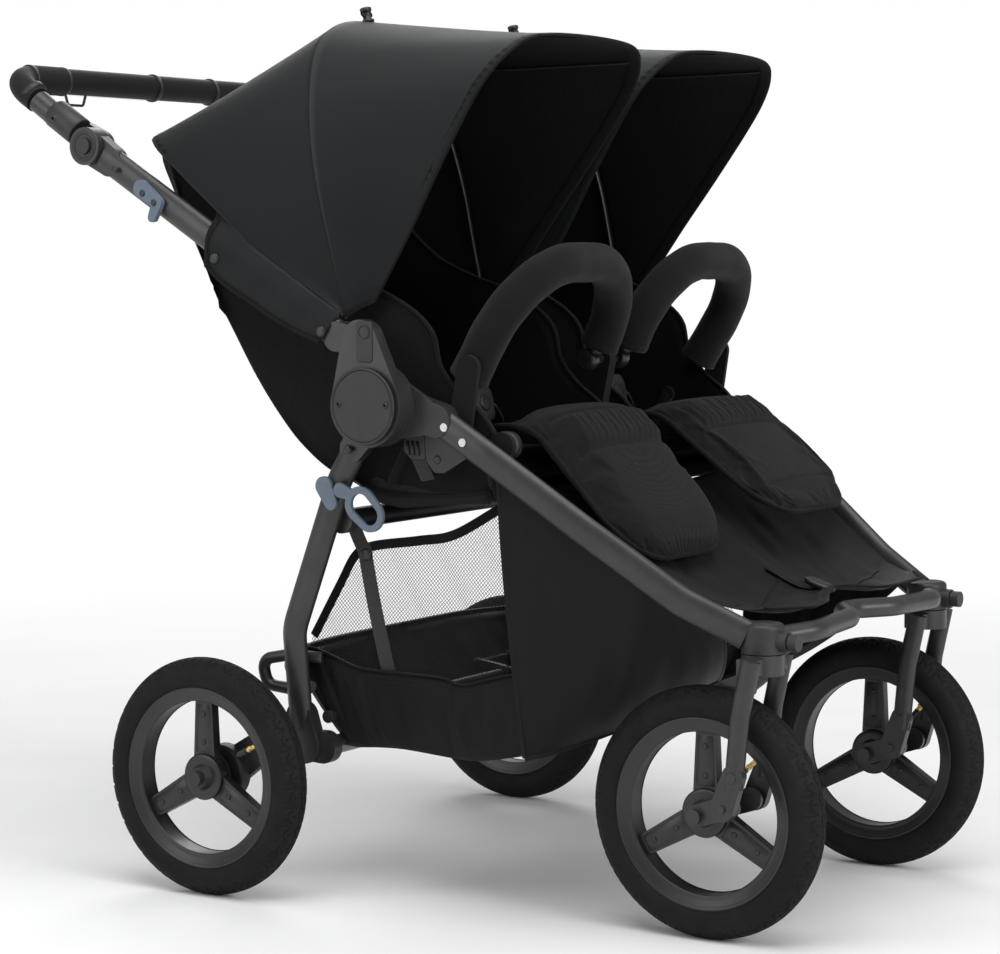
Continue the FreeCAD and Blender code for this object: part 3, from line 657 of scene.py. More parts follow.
def wheel(name, body, tread, quarter_turns):
    """Everything on one wheel that the CAD rim and hub don't show."""
    centre = middle(f"{name}_rim")
    outer_side = 1 if centre.x > 0 else -1
    tyre = bpy.data.objects.new(f"{name}_tyre_tread", tread)
    tyre.location = centre
    tyre.rotation_euler = (quarter_turns * math.pi / 2, 0, 0)
    bpy.context.collection.objects.link(tyre)
    put(tyre, body, [f"{name}_tyre"])

    trims = []
    studs = []
    for face in (-1, 1):
        axis = Vector((face, 0, 0))
        profile = [(12.4, 96.2), (13.2, 96.6), (13.8, 98.5), (14.6, 106), (17, 109.5), (18.4, 111.5),
                   (18.6, 113.4),
                   (17.6, 114.6), (16.2, 113.6)]
        rows = []
        for reach, radius in profile:
            rows.append([centre
                         + Vector((face * reach * MM, radius * MM * math.cos(t),
                                   radius * MM * math.sin(t)))
                         for t in (2 * math.pi * k / 96 for k in range(96))])
        trims.append(grid(f"{name}_lip", rows, RIM, round_rows=True))
        trims.append(lathe(f"{name}_nave_cap",
                           [(8.5 * MM, 0.029), (10 * MM, 0.029), (11 * MM, 0.0275), (11.4 * MM, 0.024),
                                                (11.2 * MM, 0.021)], centre, axis, RIM, 40))
        for spoke in range(3):
            angle = math.pi / 2 + spoke * 2 * math.pi / 3
            out = Vector((0, math.cos(angle), math.sin(angle)))
            along = out.cross(axis)
            inlay = []
            for reach, wide, high in ((31, 11.5, 6.3), (33, 12.5, 7.2), (60, 11.6, 7.2), (88, 10.6, 7.2),
                                      (92, 9.6, 6.3)):
                inlay.append([centre + axis * (high * MM) + out * (reach * MM) + along * (wide * MM * k)
                              for k in (-1, -0.93, 0, 0.93, 1)])
                inlay[-1][0] -= axis * (0.9 * MM)
                inlay[-1][-1] -= axis * (0.9 * MM)
            trims.append(grid(f"{name}_inlay", inlay, RIM))
            for reach in (44, 79):
                place = centre + axis * (7 * MM) + out * (reach * MM)
                studs.append(lathe(f"{name}_stud",
                                   [(0, 0.0036), (0.0009, 0.0036), (0.0017, 0.003), (0.002, 0.0018),
                                                    (0.0014, 0.0012)], place, axis, SMOOTH, 14))
    put(join(f"{name}_rim_trim", trims), body)
    put(join(f"{name}_rim_studs", studs), body)
    stem, top = valve(f"{name}_valve", centre, math.radians(150 if "rear" in name else 134), outer_side)
    put(stem, body)
    put(top, body)


TREAD = tyre_mesh()
for side_name, side in SIDES.items():
    for quarter_turns, end in enumerate(("front", "rear")):
        wheel(f"{side_name}_{end}", f"{side_name}_{end}_wheel", TREAD, quarter_turns + side)


# ---------------------------------------------------------------- canopies

CANOPY_MIDDLE = 177
CANOPY_PIVOT = (-207, 700)
TUBE_SLOPE = 31.5
REAR_ANGLE, BOW_ANGLE, FRONT_ANGLE = 39.3, 77.0, 124.2
SIDE_STEPS, FRONT_STEPS = 30, 22
HOOP_STEPS = 96


def polar(side, x, angle, reach):
    """A point round the canopy's pivot."""
    turn = math.radians(angle)
    back = CANOPY_PIVOT[0] + reach * math.cos(turn)
    up = CANOPY_PIVOT[1] + reach * math.sin(turn)
    return at(side * x, back, up)


def hoop(half):
    """A bow's full outline, (across, out from the pivot), from its outer foot over to the inner one."""
    outline = [(-x, reach) for x, reach in half]
    outline += [(x, reach) for x, reach in reversed(half[:-1])]
    line = spline([Vector((x, reach, 0)) for x, reach in outline], HOOP_STEPS * 4)
    total = sum((b - a).length for a, b in zip(line, line[1:]))
    return even(line, total / HOOP_STEPS * 0.99999)[:HOOP_STEPS + 1]


REAR_HOOP = hoop([(171, 26), (171, 120), (171, 230), (171, 330), (168, 372), (150, 393), (90, 400),
                  (0, 401)])
BOW_HOOP = hoop([(160, 24), (161, 110), (163, 188), (155, 254), (137, 312), (108, 362), (62, 391),
                 (0, 402)])
FRONT_HOOP = hoop([(146, 52), (152, 150), (164, 240), (171, 320), (168, 368), (149, 405), (108, 428),
                   (0, 434)])


def rear_angle(reach):
    """The rear panel's side edge runs just above the frame tube, then out along a straight line."""
    rise = math.degrees(math.asin(min(24 / max(reach, 30), 1)))
    return TUBE_SLOPE + max(rise, REAR_ANGLE - TUBE_SLOPE)


def canopy_rows(side, first, first_angle, second, second_angle, steps, sag, bulge):
    """Rows of points between two bows. The cloth is pulled straight between them and sags a little."""
    rows = []
    for j in range(steps + 1):
        t = j / steps
        row = []
        for k in range(HOOP_STEPS + 1):
            (xa, ra, _), (xb, rb, _) = first[k], second[k]
            a = polar(side, CANOPY_MIDDLE + xa, first_angle(ra), ra)
            b = polar(side, CANOPY_MIDDLE + xb, second_angle(rb), rb)
            point = a.lerp(b, t)
            u = k / HOOP_STEPS
            slack = 4 * t * (1 - t)
            soft = math.sin(9.0 * u + 2.4 * t + side) + 0.6 * math.sin(23.0 * u - 5.0 * t)
            pull = (sag - bulge * math.sin(math.pi * u) + 0.8 * soft) * slack * MM
            heart = polar(side, CANOPY_MIDDLE, (first_angle(ra) + second_angle(rb)) / 2, 150)
            row.append(point + (heart - point).normalized() * pull)
        rows.append(row)
    return rows


def hem(name, path, inward, width):
    """A folded hem along an edge; inward points from the edge into the cloth."""
    outline = oval(width, 3.2 * MM, 10, 3)
    rows = []
    for index, point in enumerate(path):
        ahead = (path[min(index + 1, len(path) - 1)] - path[max(index - 1, 0)]).normalized()
        into = inward[index]
        into = (into - ahead * into.dot(ahead)).normalized()
        out = into.cross(ahead)
        rows.append([point + into * (a + width * 0.42) + out * b for a, b in outline])
    band = grid(name, rows, CANOPY, round_rows=True)
    cap(band, len(outline), len(rows))
    return band


STITCH_SPACING, STITCH_LENGTH, THREAD_RADIUS = 4.4 * MM, 2.9 * MM, 0.28 * MM


def stitch_line(name, path, outs):
    """A row of thread stitches just proud of the cloth."""
    total = sum((b - a).length for a, b in zip(path, path[1:]))
    verts, faces = [], []
    run = 0.0
    next_at = STITCH_SPACING
    for index, (a, b) in enumerate(zip(path, path[1:])):
        step = (b - a).length
        while run + step >= next_at and next_at < total - STITCH_SPACING:
            centre = a.lerp(b, (next_at - run) / step)
            ahead = (b - a).normalized()
            out = (outs[index] - ahead * outs[index].dot(ahead)).normalized()
            across = ahead.cross(out)
            base = len(verts)
            for reach, high in ((-0.5, -0.4), (-0.32, 0.9), (0.32, 0.9), (0.5, -0.4)):
                spot = centre + ahead * (reach * STITCH_LENGTH)
                for w, h in ((-1, 0), (0, 1), (1, 0)):
                    verts.append(spot + across * (w * THREAD_RADIUS)
                                 + out * ((high + h * 0.9) * THREAD_RADIUS))
            for ring in range(3):
                for corner in range(2):
                    first = base + ring * 3 + corner
                    faces.append((first, first + 1, first + 4, first + 3))
            next_at += STITCH_SPACING
        run += step
    return new_piece(name, verts, faces, THREAD)


def row_normals(rows, index):
    """Outward directions along one row of a sheet, away from the canopy's middle."""
    outs = []
    near = rows[index - 1] if index else rows[1]
    for k, point in enumerate(rows[index]):
        ahead = rows[index][min(k + 1, len(near) - 1)] - rows[index][max(k - 1, 0)]
        away = ahead.cross(near[k] - point)
        heart = at(0, *CANOPY_PIVOT) + Vector((CANOPY_MIDDLE * MM * (1 if point.x > 0 else -1), 0, 0.15))
        outs.append(away.normalized() * (1 if away.dot(point - heart) > 0 else -1))
    return outs


def blended(piece, first, second, start, end, slot):
    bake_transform(piece)
    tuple(start)
    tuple(end)
    return piece


def row_length(row):
    return sum((b - a).length for a, b in zip(row, row[1:]))


def canopy_panel(side_name, side, part, rows, span, nodes):
    """One cloth panel between two bows; span, its two bodies and where a blend would start and stop, is not
    used.
    """
    sheet = grid(f"{side_name}_canopy_{part}", rows if side > 0 else [row[::-1] for row in rows], CANOPY)
    thicken(sheet, 1.6 * MM, -1, LINING)
    blended(sheet, *span, "canopy_cloth")
    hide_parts(*nodes)
    long = max(row_length(row) for row in rows)
    wide = max(row_length(column) for column in zip(*rows))


def canopy_bow(side_name, back):
    """The middle bow and the seam that covers it."""
    body = f"{side_name}_canopy_middle"
    bow_row, outs = back[-1], row_normals(back, SIDE_STEPS)
    path = [p - o * (3.4 * MM) for p, o in zip(bow_row, outs)]
    put(tube(f"{side_name}_canopy_bow", path, oval(9 * MM, 4 * MM, 10), SMOOTH), body)
    path = [p + o * (0.5 * MM) for p, o in zip(bow_row, outs)]
    put(tube(f"{side_name}_canopy_bow_seam", path, oval(2.6 * MM, 1.6 * MM, 8), CANOPY), body)


def canopy_front_edge(side_name, front):
    """The brim's wide hem, with two rows of stitches."""
    body = f"{side_name}_canopy_front"
    edge, outs = front[-1], row_normals(front, FRONT_STEPS)
    into = [a - b for a, b in zip(front[-3], edge)]
    put(hem(f"{side_name}_canopy_front_hem", edge, into, 17 * MM), body)
    stitches = []
    for reach in (4, 14.5):
        line = [p + i.normalized() * (reach * MM) + o * (1.75 * MM) for p, i, o in zip(edge, into, outs)]
        stitches.append(stitch_line("stitch", line, outs))
    put(join(f"{side_name}_canopy_front_stitches", stitches), body)


def canopy_rear_edge(side_name, back, span):
    """The rear panel's hem, with one row of stitches."""
    edge, outs = back[0], row_normals(back, 0)
    into = [a - b for a, b in zip(back[2], edge)]
    blended(hem(f"{side_name}_canopy_rear_hem", edge, into, 12 * MM), *span, "canopy_cloth")
    line = [p + i.normalized() * (8 * MM) + o * (1.75 * MM) for p, i, o in zip(edge, into, outs)]
    blended(stitch_line(f"{side_name}_canopy_rear_stitches", line, outs), *span, "webbing")


def canopy_bow_stitches(side_name, back, front):
    """Two rows of stitches beside the middle bow."""
    outs = row_normals(front, 1)
    ways = [(a - b).normalized() for a, b in zip(front[1], front[0])]
    threads = []
    for reach in (3, 6.5):
        line = [p + way * (reach * MM) + o * (0.3 * MM) for p, way, o in zip(back[-1], ways, outs)]
        threads.append(stitch_line("stitch", line, outs))
    put(join(f"{side_name}_canopy_bow_stitches", threads), f"{side_name}_canopy_middle")


def canopy_lining_seams(side_name, side, front, span):
    """Three seams that run under the front panel."""
    for k in (int(HOOP_STEPS * 0.36), HOOP_STEPS // 2, int(HOOP_STEPS * 0.64)):
        heart = polar(side, CANOPY_MIDDLE, 100, 120)
        line = [row[k] - (row[k] - heart).normalized() * (2.6 * MM) for row in front[:-1]]
        seam = tube(f"{side_name}_canopy_lining_seam_{k}", line, oval(5 * MM, 2 * MM, 8), LINING)
        blended(seam, *span, "canopy_cloth")


TOGGLE = [(0, 0.008), (0.003, 0.0085), (0.004, 0.0065), (0.006, 0.0052), (0.013, 0.0052),
          (0.0145, 0.0072),
          (0.0185, 0.0074), (0.0195, 0.0055)]


def canopy_toggle(side_name, side):
    """The small knob on top of the middle bow, with a loop of cord round it."""
    place = polar(side, CANOPY_MIDDLE - 4, BOW_ANGLE + 1, 402)
    up = Vector((0, math.cos(math.radians(BOW_ANGLE)), math.sin(math.radians(BOW_ANGLE))))
    toggle = lathe(f"{side_name}_canopy_toggle", TOGGLE, place - up * 0.002, up, SMOOTH, 20)
    path = [place + up * (0.009 + 0.0045 * math.sin(t)) + Vector((0.011 * math.cos(t), 0, 0))
            for t in (2 * math.pi * k / 20 for k in range(20))]
    loop = tube(f"{side_name}_canopy_toggle_cord", path, circle(1.3 * MM, 8), PIPING, loop=True)
    put(toggle, f"{side_name}_canopy_middle")
    put(loop, f"{side_name}_canopy_middle")


def canopy(side_name, side):
    """Rear panel, front panel, their hems, bows and linings for one seat."""
    middle_node, front_node = f"{side_name}_canopy_middle", f"{side_name}_canopy_front"
    back = canopy_rows(side, REAR_HOOP, rear_angle, BOW_HOOP, lambda _: BOW_ANGLE, SIDE_STEPS, 3, 6)
    front = canopy_rows(side, BOW_HOOP, lambda _: BOW_ANGLE, FRONT_HOOP, lambda _: FRONT_ANGLE,
                        FRONT_STEPS, 5, 2)
    stops = [polar(side, CANOPY_MIDDLE, angle, 300)
             for angle in (46, BOW_ANGLE - 2, BOW_ANGLE + 3, FRONT_ANGLE - 5)]
    rear_span = ("root", middle_node, stops[0], stops[1])
    front_span = (middle_node, front_node, stops[2], stops[3])
    canopy_panel(side_name, side, "rear_panel", back, rear_span, [f"{side_name}_canopy_rear"])
    canopy_panel(side_name, side, "front_panel", front, front_span, [middle_node, front_node])
    canopy_bow(side_name, back)
    canopy_front_edge(side_name, front)
    canopy_rear_edge(side_name, back, rear_span)
    canopy_bow_stitches(side_name, back, front)
    canopy_lining_seams(side_name, side, front, front_span)
    canopy_toggle(side_name, side)


both_sides(canopy)


SNAP = [(-0.001, 0.0062), (0.0008, 0.0066), (0.0018, 0.006), (0.0024, 0.004), (0.0022, 0.002)]


def side_flap(side_name, side):
    """The canopy's lower side edge, which wraps over the frame tube and snaps to it."""
    slope = math.radians(TUBE_SLOPE)
    hem_line = spline([(16, -17, 0), (70, -28, 0), (140, -33, 0), (190, -34.5, 0), (216, -30, 0)], 40)
    top_line = []
    for k in range(40):
        reach = 26 + (246 - 26) * k / 39
        lift = math.radians(rear_angle(reach) - TUBE_SLOPE)
        top_line.append(Vector((reach * math.cos(lift), reach * math.sin(lift), 0)))
    rows = []
    steps = 16
    for j in range(steps + 1):
        t = j / steps
        row = []
        for k in range(40):
            along, off, _ = hem_line[k].lerp(top_line[k], t)
            wave = 0.7 * math.sin(0.09 * along + 3 * t + side)
            bulge = 14.3 * (off / 24) ** 2 if off > 0 else 2.2 * (off / 33) ** 2
            x = 363.4 - min(bulge, 15.2) + wave
            back = CANOPY_PIVOT[0] + along * math.cos(slope) - off * math.sin(slope)
            up = CANOPY_PIVOT[1] + along * math.sin(slope) + off * math.cos(slope)
            row.append(at(side * x, back, up))
        rows.append(row)
    flap = grid(f"{side_name}_canopy_side_flap", rows if side < 0 else [row[::-1] for row in rows],
                CANOPY)
    thicken(flap, 1.6 * MM, 0, LINING)
    put(flap, "handle_frame")
    edge = rows[0] + [row[-1] for row in rows[1:]]
    out = Vector((side, 0, 0))
    into = [a - b for a, b in zip(rows[3], rows[0])] + [Vector((0, -1, -0.3))] * steps
    band = hem(f"{side_name}_canopy_flap_hem", edge, into, 9 * MM)
    put(band, "handle_frame")
    lines = []
    for reach in (3, 7.5):
        line = [p + i.normalized() * (reach * MM) + out * (1.7 * MM) for p, i in zip(edge, into)]
        lines.append(stitch_line("stitch", line, [out] * len(line)))
    put(join(f"{side_name}_canopy_flap_stitches", lines), "handle_frame")
    for number, (back, up) in enumerate(((-25, 797), (-186, 709))):
        place = at(side * 364.2, back, up)
        snap = lathe(f"{side_name}_canopy_snap_{number}", SNAP, place, out, SMOOTH, 24)
        put(snap, "handle_frame")


both_sides(side_flap)


# ---------------------------------------------------------------- padded pieces

SEAT_MIDDLE, SEAT_HALF = 165, 127
BUMPER_PIVOT = (-364, 667)
LEG_PIVOT = (-407, 575)
RECLINE_PIVOT = (-182, 556)


def puff(piece, limit, pressure=4.0, pins=(), roomy=0.03):
    """Fills a padded piece with a short cloth simulation; no point moves further than limit."""
    rest = [vert.co.copy() for vert in piece.data.vertices]
    simulated = piece.modifiers.new("cloth", "CLOTH")
    settings = simulated.settings
    settings.quality = 5
    settings.mass = 0.25
    settings.tension_stiffness = 12
    settings.compression_stiffness = 12
    settings.shear_stiffness = 4
    settings.bending_stiffness = 0.02
    settings.use_pressure = True
    settings.uniform_pressure_force = pressure
    settings.shrink_min = -roomy
    settings.effector_weights.gravity = 0
    if pins:
        group = piece.vertex_groups.new(name="sewn")
        group.add(list(pins), 1.0, "REPLACE")
        settings.vertex_group_mass = "sewn"
    scene = bpy.context.scene
    for number in range(1, 21):
        scene.frame_set(number)
    posed = piece.evaluated_get(bpy.context.evaluated_depsgraph_get())
    moved = [vert.co.copy() for vert in posed.data.vertices]
    piece.modifiers.remove(simulated)
    for vert, old, new in zip(piece.data.vertices, rest, moved):
        step = new - old
        if step.length > limit:
            step *= limit / step.length
        vert.co = old + step
    scene.frame_set(1)
    return piece


def round_end(half, corner, length, start_corner=None):
    """Half the width along a pad with rounded corners at both ends."""
    start_corner = corner if start_corner is None else start_corner

    def width(t):
        loss = 0.0
        for radius, reach in ((start_corner, t), (corner, length - t)):
            if reach < radius:
                loss += radius - math.sqrt(max(radius ** 2 - (radius - max(reach, 0)) ** 2, 0))
        return half - loss

    return width


def spread(length, steps):
    """Places along a pad, closer together near its ends."""
    return [length * (0.5 - 0.5 * math.cos(math.pi * k / steps)) * 0.35 + 0.65 * length * k / steps
            for k in range(steps + 1)]


def pillow(name, place, length, width, high, low, material, across=60, along=56):
    """A closed pad. place turns (across, along, height) into a point; its edge ring is returned too."""
    rings = []
    ends = [math.sin(math.pi / 2 * (-1 + 2 * k / across)) * 0.35 + 0.65 * (-1 + 2 * k / across)
            for k in range(across + 1)]
    for t in spread(length, along):
        wide = width(t)
        ring = [place(s * wide, t, high(s, t)) for s in ends]
        ring += [place(s * wide, t, low(s, t)) for s in reversed(ends[1:-1])]
        rings.append(ring)
    piece = grid(name, rings, material, round_rows=True)
    count = len(rings[0])
    cap(piece, count, len(rings))
    pins = [j * count + k for j in range(len(rings)) for k in (0, across)]
    pins += list(range(count)) + [(len(rings) - 1) * count + k for k in range(count)]
    edge = [ring[0] for ring in rings] + rings[-1][1:across] + [ring[across] for ring in reversed(rings)]
    return piece, pins, edge


def piping(name, path, radius=2.6 * MM):
    """Corded piping along a sewn edge."""
    return tube(name, path, circle(radius, 8), PIPING)


def groove(place, middle_of, width, depth):
    """A sewn channel: a smooth dip centred on middle_of."""
    return -depth * math.exp(-((place - middle_of) / width) ** 2)


def between(table, place):
    """A value read from a table of (place, value) pairs, with straight lines between them."""
    for (a, first), (b, second) in zip(table, table[1:]):
        if (place - a) * (place - b) <= 0:
            return first + (second - first) * (place - a) / (b - a)
    return table[0][1] if abs(place - table[0][0]) < abs(place - table[-1][0]) else table[-1][1]


def gathers(s, t, size):
    """Small uneven puckers running along the pad, as where cloth is sewn in with fullness."""
    return size * (math.sin(58 * s + 3 * math.sin(0.09 * t)) + 0.6 * math.sin(91 * s - 0.06 * t + 2)
                   + 0.4 * math.sin(27 * s + 0.11 * t))


LEG_LEAN = {"left": 38.6, "right": 28.6}
KNOB = [(0, 0.0165), (0.007, 0.0172), (0.012, 0.0172), (0.0138, 0.0155), (0.0138, 0.0092),
        (0.0128, 0.0088)]
BUTTON = [(0.010, 0.0086), (0.0136, 0.0086), (0.0146, 0.0078), (0.0149, 0.004)]


def leg_pad(side_name, side):
    """Calf pad: a quilted band near the hinge, a plain field and a piped, rounded lower edge."""
    lean = math.radians(LEG_LEAN[side_name])
    length = 254

    def place(across, along, height):
        along -= 42
        height += 32 * min(max(1 - along / 205, 0), 1) - 0.0075 * max(30 - along, 0) ** 2
        back = LEG_PIVOT[0] - along * math.cos(lean) - height * math.sin(lean)
        up = LEG_PIVOT[1] - along * math.sin(lean) + height * math.cos(lean)
        return at(side * (153 + across), back, up)

    def fall(s, t):
        start, end = min(1, (t / 30 + 0.25)), min(1, ((length - t) / 44) ** 0.5 + 0.02)
        return (1 - abs(s) ** 6) ** 0.8 * start * end

    def high(s, t):
        band = 1 / (1 + math.exp(-(t - 58) / 2)) / (1 + math.exp((t - 102) / 2))
        band = band / (1 + math.exp((abs(s) - 0.74) * 34))
        crown = between([(-10, 18), (40, 22), (90, 27), (130, 28), (170, 27), (210, 25), (260, 20)], t)
        crown *= 1 - 0.22 * s * s
        top = crown * fall(s, t) + band * (7.5 + gathers(s, 0.4 * t, 0.7))
        top += 0.45 * gathers(s, t, 1.0) * math.exp(-((length - t) / 22) ** 2)
        top += (groove(t, 53, 3.4, 4) + groove(t, 108, 3.4, 4)) * (abs(s) < 0.84)
        return top - 1

    pad, pins, edge = pillow(f"{side_name}_leg_pad", place, length, round_end(121, 76, length, 16),
                             high, lambda s, t: -15 * fall(s, t) - 1, SEAT, 110, 84)
    puff(pad, 5 * MM, 3.0, pins, 0.035)
    put(pad, f"{side_name}_leg_rest", [f"{side_name}_leg_rest"])
    cord = piping(f"{side_name}_leg_pad_piping", edge, 3.4 * MM)
    put(cord, f"{side_name}_leg_rest")
    lines = []
    for reach in (54, 108):
        row = [(-0.8 + 1.6 * k / 60) for k in range(61)]
        line = [place(s * 121, reach, high(s, reach) + 2.2) for s in row]
        up = (place(0, reach, 10) - place(0, reach, 0)).normalized()
        lines.append(stitch_line("stitch", line, [up] * len(line)))
    put(join(f"{side_name}_leg_pad_stitches", lines), f"{side_name}_leg_rest")
    out = Vector((side, 0, 0))
    for number, (x, way) in enumerate(((288, out), (31, -out))):
        hinge = at(side * x, *LEG_PIVOT)
        knob = lathe(f"{side_name}_leg_rest_pivot_{number}", KNOB, hinge, way, PLASTIC, 40)
        button = lathe(f"{side_name}_leg_rest_button_{number}", BUTTON, hinge, way, ACCENT, 32)
        put(knob, f"{side_name}_leg_rest")
        put(button, f"{side_name}_leg_rest")


def seat_cushion(side_name, side):
    """Seat pad with a sewn border, one cross channel and a soft front edge."""
    length = 186

    def place(across, along, height):
        return at(side * (SEAT_MIDDLE + across), -212 - along, 539 + height)

    def fall(s, t):
        start, end = min(1, ((t / 24) ** 0.6)), min(1, ((length - t) / 34) ** 0.55 + 0.02)
        return (1 - abs(s) ** 4.0) * start * end

    def high(s, t):
        top = 19 * fall(s, t) + groove(t, 96, 4, 5) * (abs(s) < 0.9)
        top += groove(abs(s) * SEAT_HALF, 92, 4, 4)
        return top + 0.4 * gathers(s, t, 1) * math.exp(-((t - 96) / 14) ** 2)

    pad, pins, edge = pillow(f"{side_name}_seat_cushion", place, length,
                             round_end(SEAT_HALF - 2, 30, length),
                             high, lambda s, t: -17 * fall(s, t), SEAT, 84, 64)
    puff(pad, 5 * MM, 3.0, pins)
    put(pad, "root")
    put(piping(f"{side_name}_seat_cushion_piping", edge), "root")
    return pad


def on_back(side, across, along, height):
    """A place on a seat back: across from its middle, up along it and out from its rear face."""
    lean = math.radians(50)
    back = RECLINE_PIVOT[0] + along * math.cos(lean) - height * math.sin(lean)
    return at(side * (SEAT_MIDDLE + across), back,
              RECLINE_PIVOT[1] + along * math.sin(lean) + height * math.cos(lean))


def seat_back(side_name, side):
    """Seat back: side bolsters, two cross channels and a head pad."""
    length = 376

    def fall(s, t):
        start, end = min(1, (t / 22) ** 0.6 + 0.02), min(1, ((length - t) / 40) ** 0.55 + 0.02)
        return (1 - abs(s) ** 5.0) * start * end

    def high(s, t):
        wing = 7 / (1 + math.exp(-(abs(s) - 0.72) * 26))
        top = (15 + wing) * fall(s, t) + groove(abs(s) * SEAT_HALF, 86, 4, 6) * (t < 344)
        for line in (92, 186, 276):
            top += groove(t, line, 4, 6) * (abs(s) < 0.68)
            top += 0.5 * gathers(s, t, 0.9) * math.exp(-((t - line) / 12) ** 2) * (abs(s) < 0.66)
        return top

    pad, pins, edge = pillow(f"{side_name}_seat_back_pad", lambda a, t,
                             h: on_back(side, a, 15 + t, 18 + h), length,
                             round_end(SEAT_HALF - 2, 60, length, 16), high, lambda s,
                             t: -16 * fall(s, t), SEAT, 84, 96)
    puff(pad, 5 * MM, 3.0, pins)
    body = f"{side_name}_seat_back"
    put(pad, body, [f"{side_name}_seat_back"])
    put(piping(f"{side_name}_seat_back_piping", edge), body)


def strap(name, path, width, thickness, up, material):
    """Flat webbing along a path; up points out of its face."""
    return tube(name, path, oval(width, thickness, 12, 5), material, up=up)


def harness(side_name, side):
    """Shoulder straps of the five-point harness, with their sleeves."""
    body = f"{side_name}_seat_back"
    out = (on_back(side, 0, 100, 10) - on_back(side, 0, 100, 0)).normalized()
    straps = []
    sleeves = []
    for offset in (-42, 42):
        path = spline([on_back(side, offset, 344, 38), on_back(side, offset, 332, 49),
                       on_back(side, offset * 1.02, 250, 50),
                       on_back(side, offset, 160, 50), on_back(side, offset * 0.8, 96, 46),
                       on_back(side, offset * 0.6, 62, 41)],
                      60)
        straps.append(strap("strap", path, 25 * MM, 2 * MM, out, WEBBING))
        sleeve_path = path[8:38]
        sleeves.append(tube("sleeve", [p + out * (1.5 * MM) for p in sleeve_path],
                            oval(44 * MM, 12 * MM, 28, 3.2), SEAT,
                            up=out, scale=lambda u: 0.86
                            + 0.14 * math.sin(math.pi * min(max(u, 0.0), 1.0)) ** 0.35))
    webbing = join(f"{side_name}_harness_straps", straps)
    put(webbing, body, [f"{side_name}_shoulder_harness"])
    pads = join(f"{side_name}_harness_sleeves", sleeves)
    put(pads, body)


def buckle(side_name, side):
    """Crotch strap, buckle case with its round release button, and the waist straps."""
    foot = at(side * SEAT_MIDDLE, -300, 556)
    lean = Vector((0, 0.25, 1)).normalized()
    out = Vector((0, -1, 0.25)).normalized()
    path = [foot + lean * (step * MM) for step in range(0, 52, 4)]
    crotch = strap(f"{side_name}_crotch_strap", path, 26 * MM, 2.4 * MM, out, WEBBING)
    put(crotch, "root")
    rows = []
    for reach, wide, thick in ((38, 13, 5), (40, 20, 8), (46, 24, 11), (60, 26, 13), (74, 25, 12),
                               (82, 21, 9), (84, 15, 6)):
        rows.append([foot + lean * (reach * MM) + Vector((a, 0, 0)) + out * b
                     for a, b in oval(2 * wide * MM, thick * MM, 32, 3)])
    case = grid(f"{side_name}_buckle_case", rows, PLASTIC, round_rows=True)
    cap(case, 32, len(rows))
    put(case, "root")
    face = foot + lean * (61 * MM) + out * (5.4 * MM)
    button = lathe(f"{side_name}_buckle_button",
                   [(0, 0.0105), (0.0018, 0.0105), (0.0026, 0.0095), (0.0024, 0.006)],
                   face, out, SMOOTH, 36)
    put(button, "root")
    waists = []
    for way in (-1, 1):
        path = spline([foot + lean * (64 * MM) + Vector((way * 0.022, 0, 0)),
                       at(side * SEAT_MIDDLE + way * 62, -268, 596),
                       at(side * SEAT_MIDDLE + way * 96, -226, 582),
                       at(side * SEAT_MIDDLE + way * 106, -204, 572)], 30)
        waists.append(strap("strap", path, 25 * MM, 2 * MM, Vector((0, -0.7, 1)), WEBBING))
    put(join(f"{side_name}_waist_straps", waists), "root")


def filleted(points, bend, step=4.0):
    """Straight runs joined by arcs, as points about step millimetres apart."""
    line = [points[0]]
    for before, corner, after in zip(points, points[1:], points[2:]):
        back, forth = (before - corner).normalized(), (after - corner).normalized()
        half = back.angle(forth) / 2
        reach = bend * MM / math.tan(half)
        centre = corner + (back + forth).normalized() * (bend * MM / math.sin(half))
        start, end = corner + back * reach - centre, corner + forth * reach - centre
        turn = start.angle(end)
        count = max(int(turn * bend / step), 4)
        axis = start.cross(end).normalized()
        line += [centre + Matrix.Rotation(turn * k / count, 3, axis) @ start for k in range(count + 1)]
    line.append(points[-1])
    return even(line, step * MM) + [points[-1]]


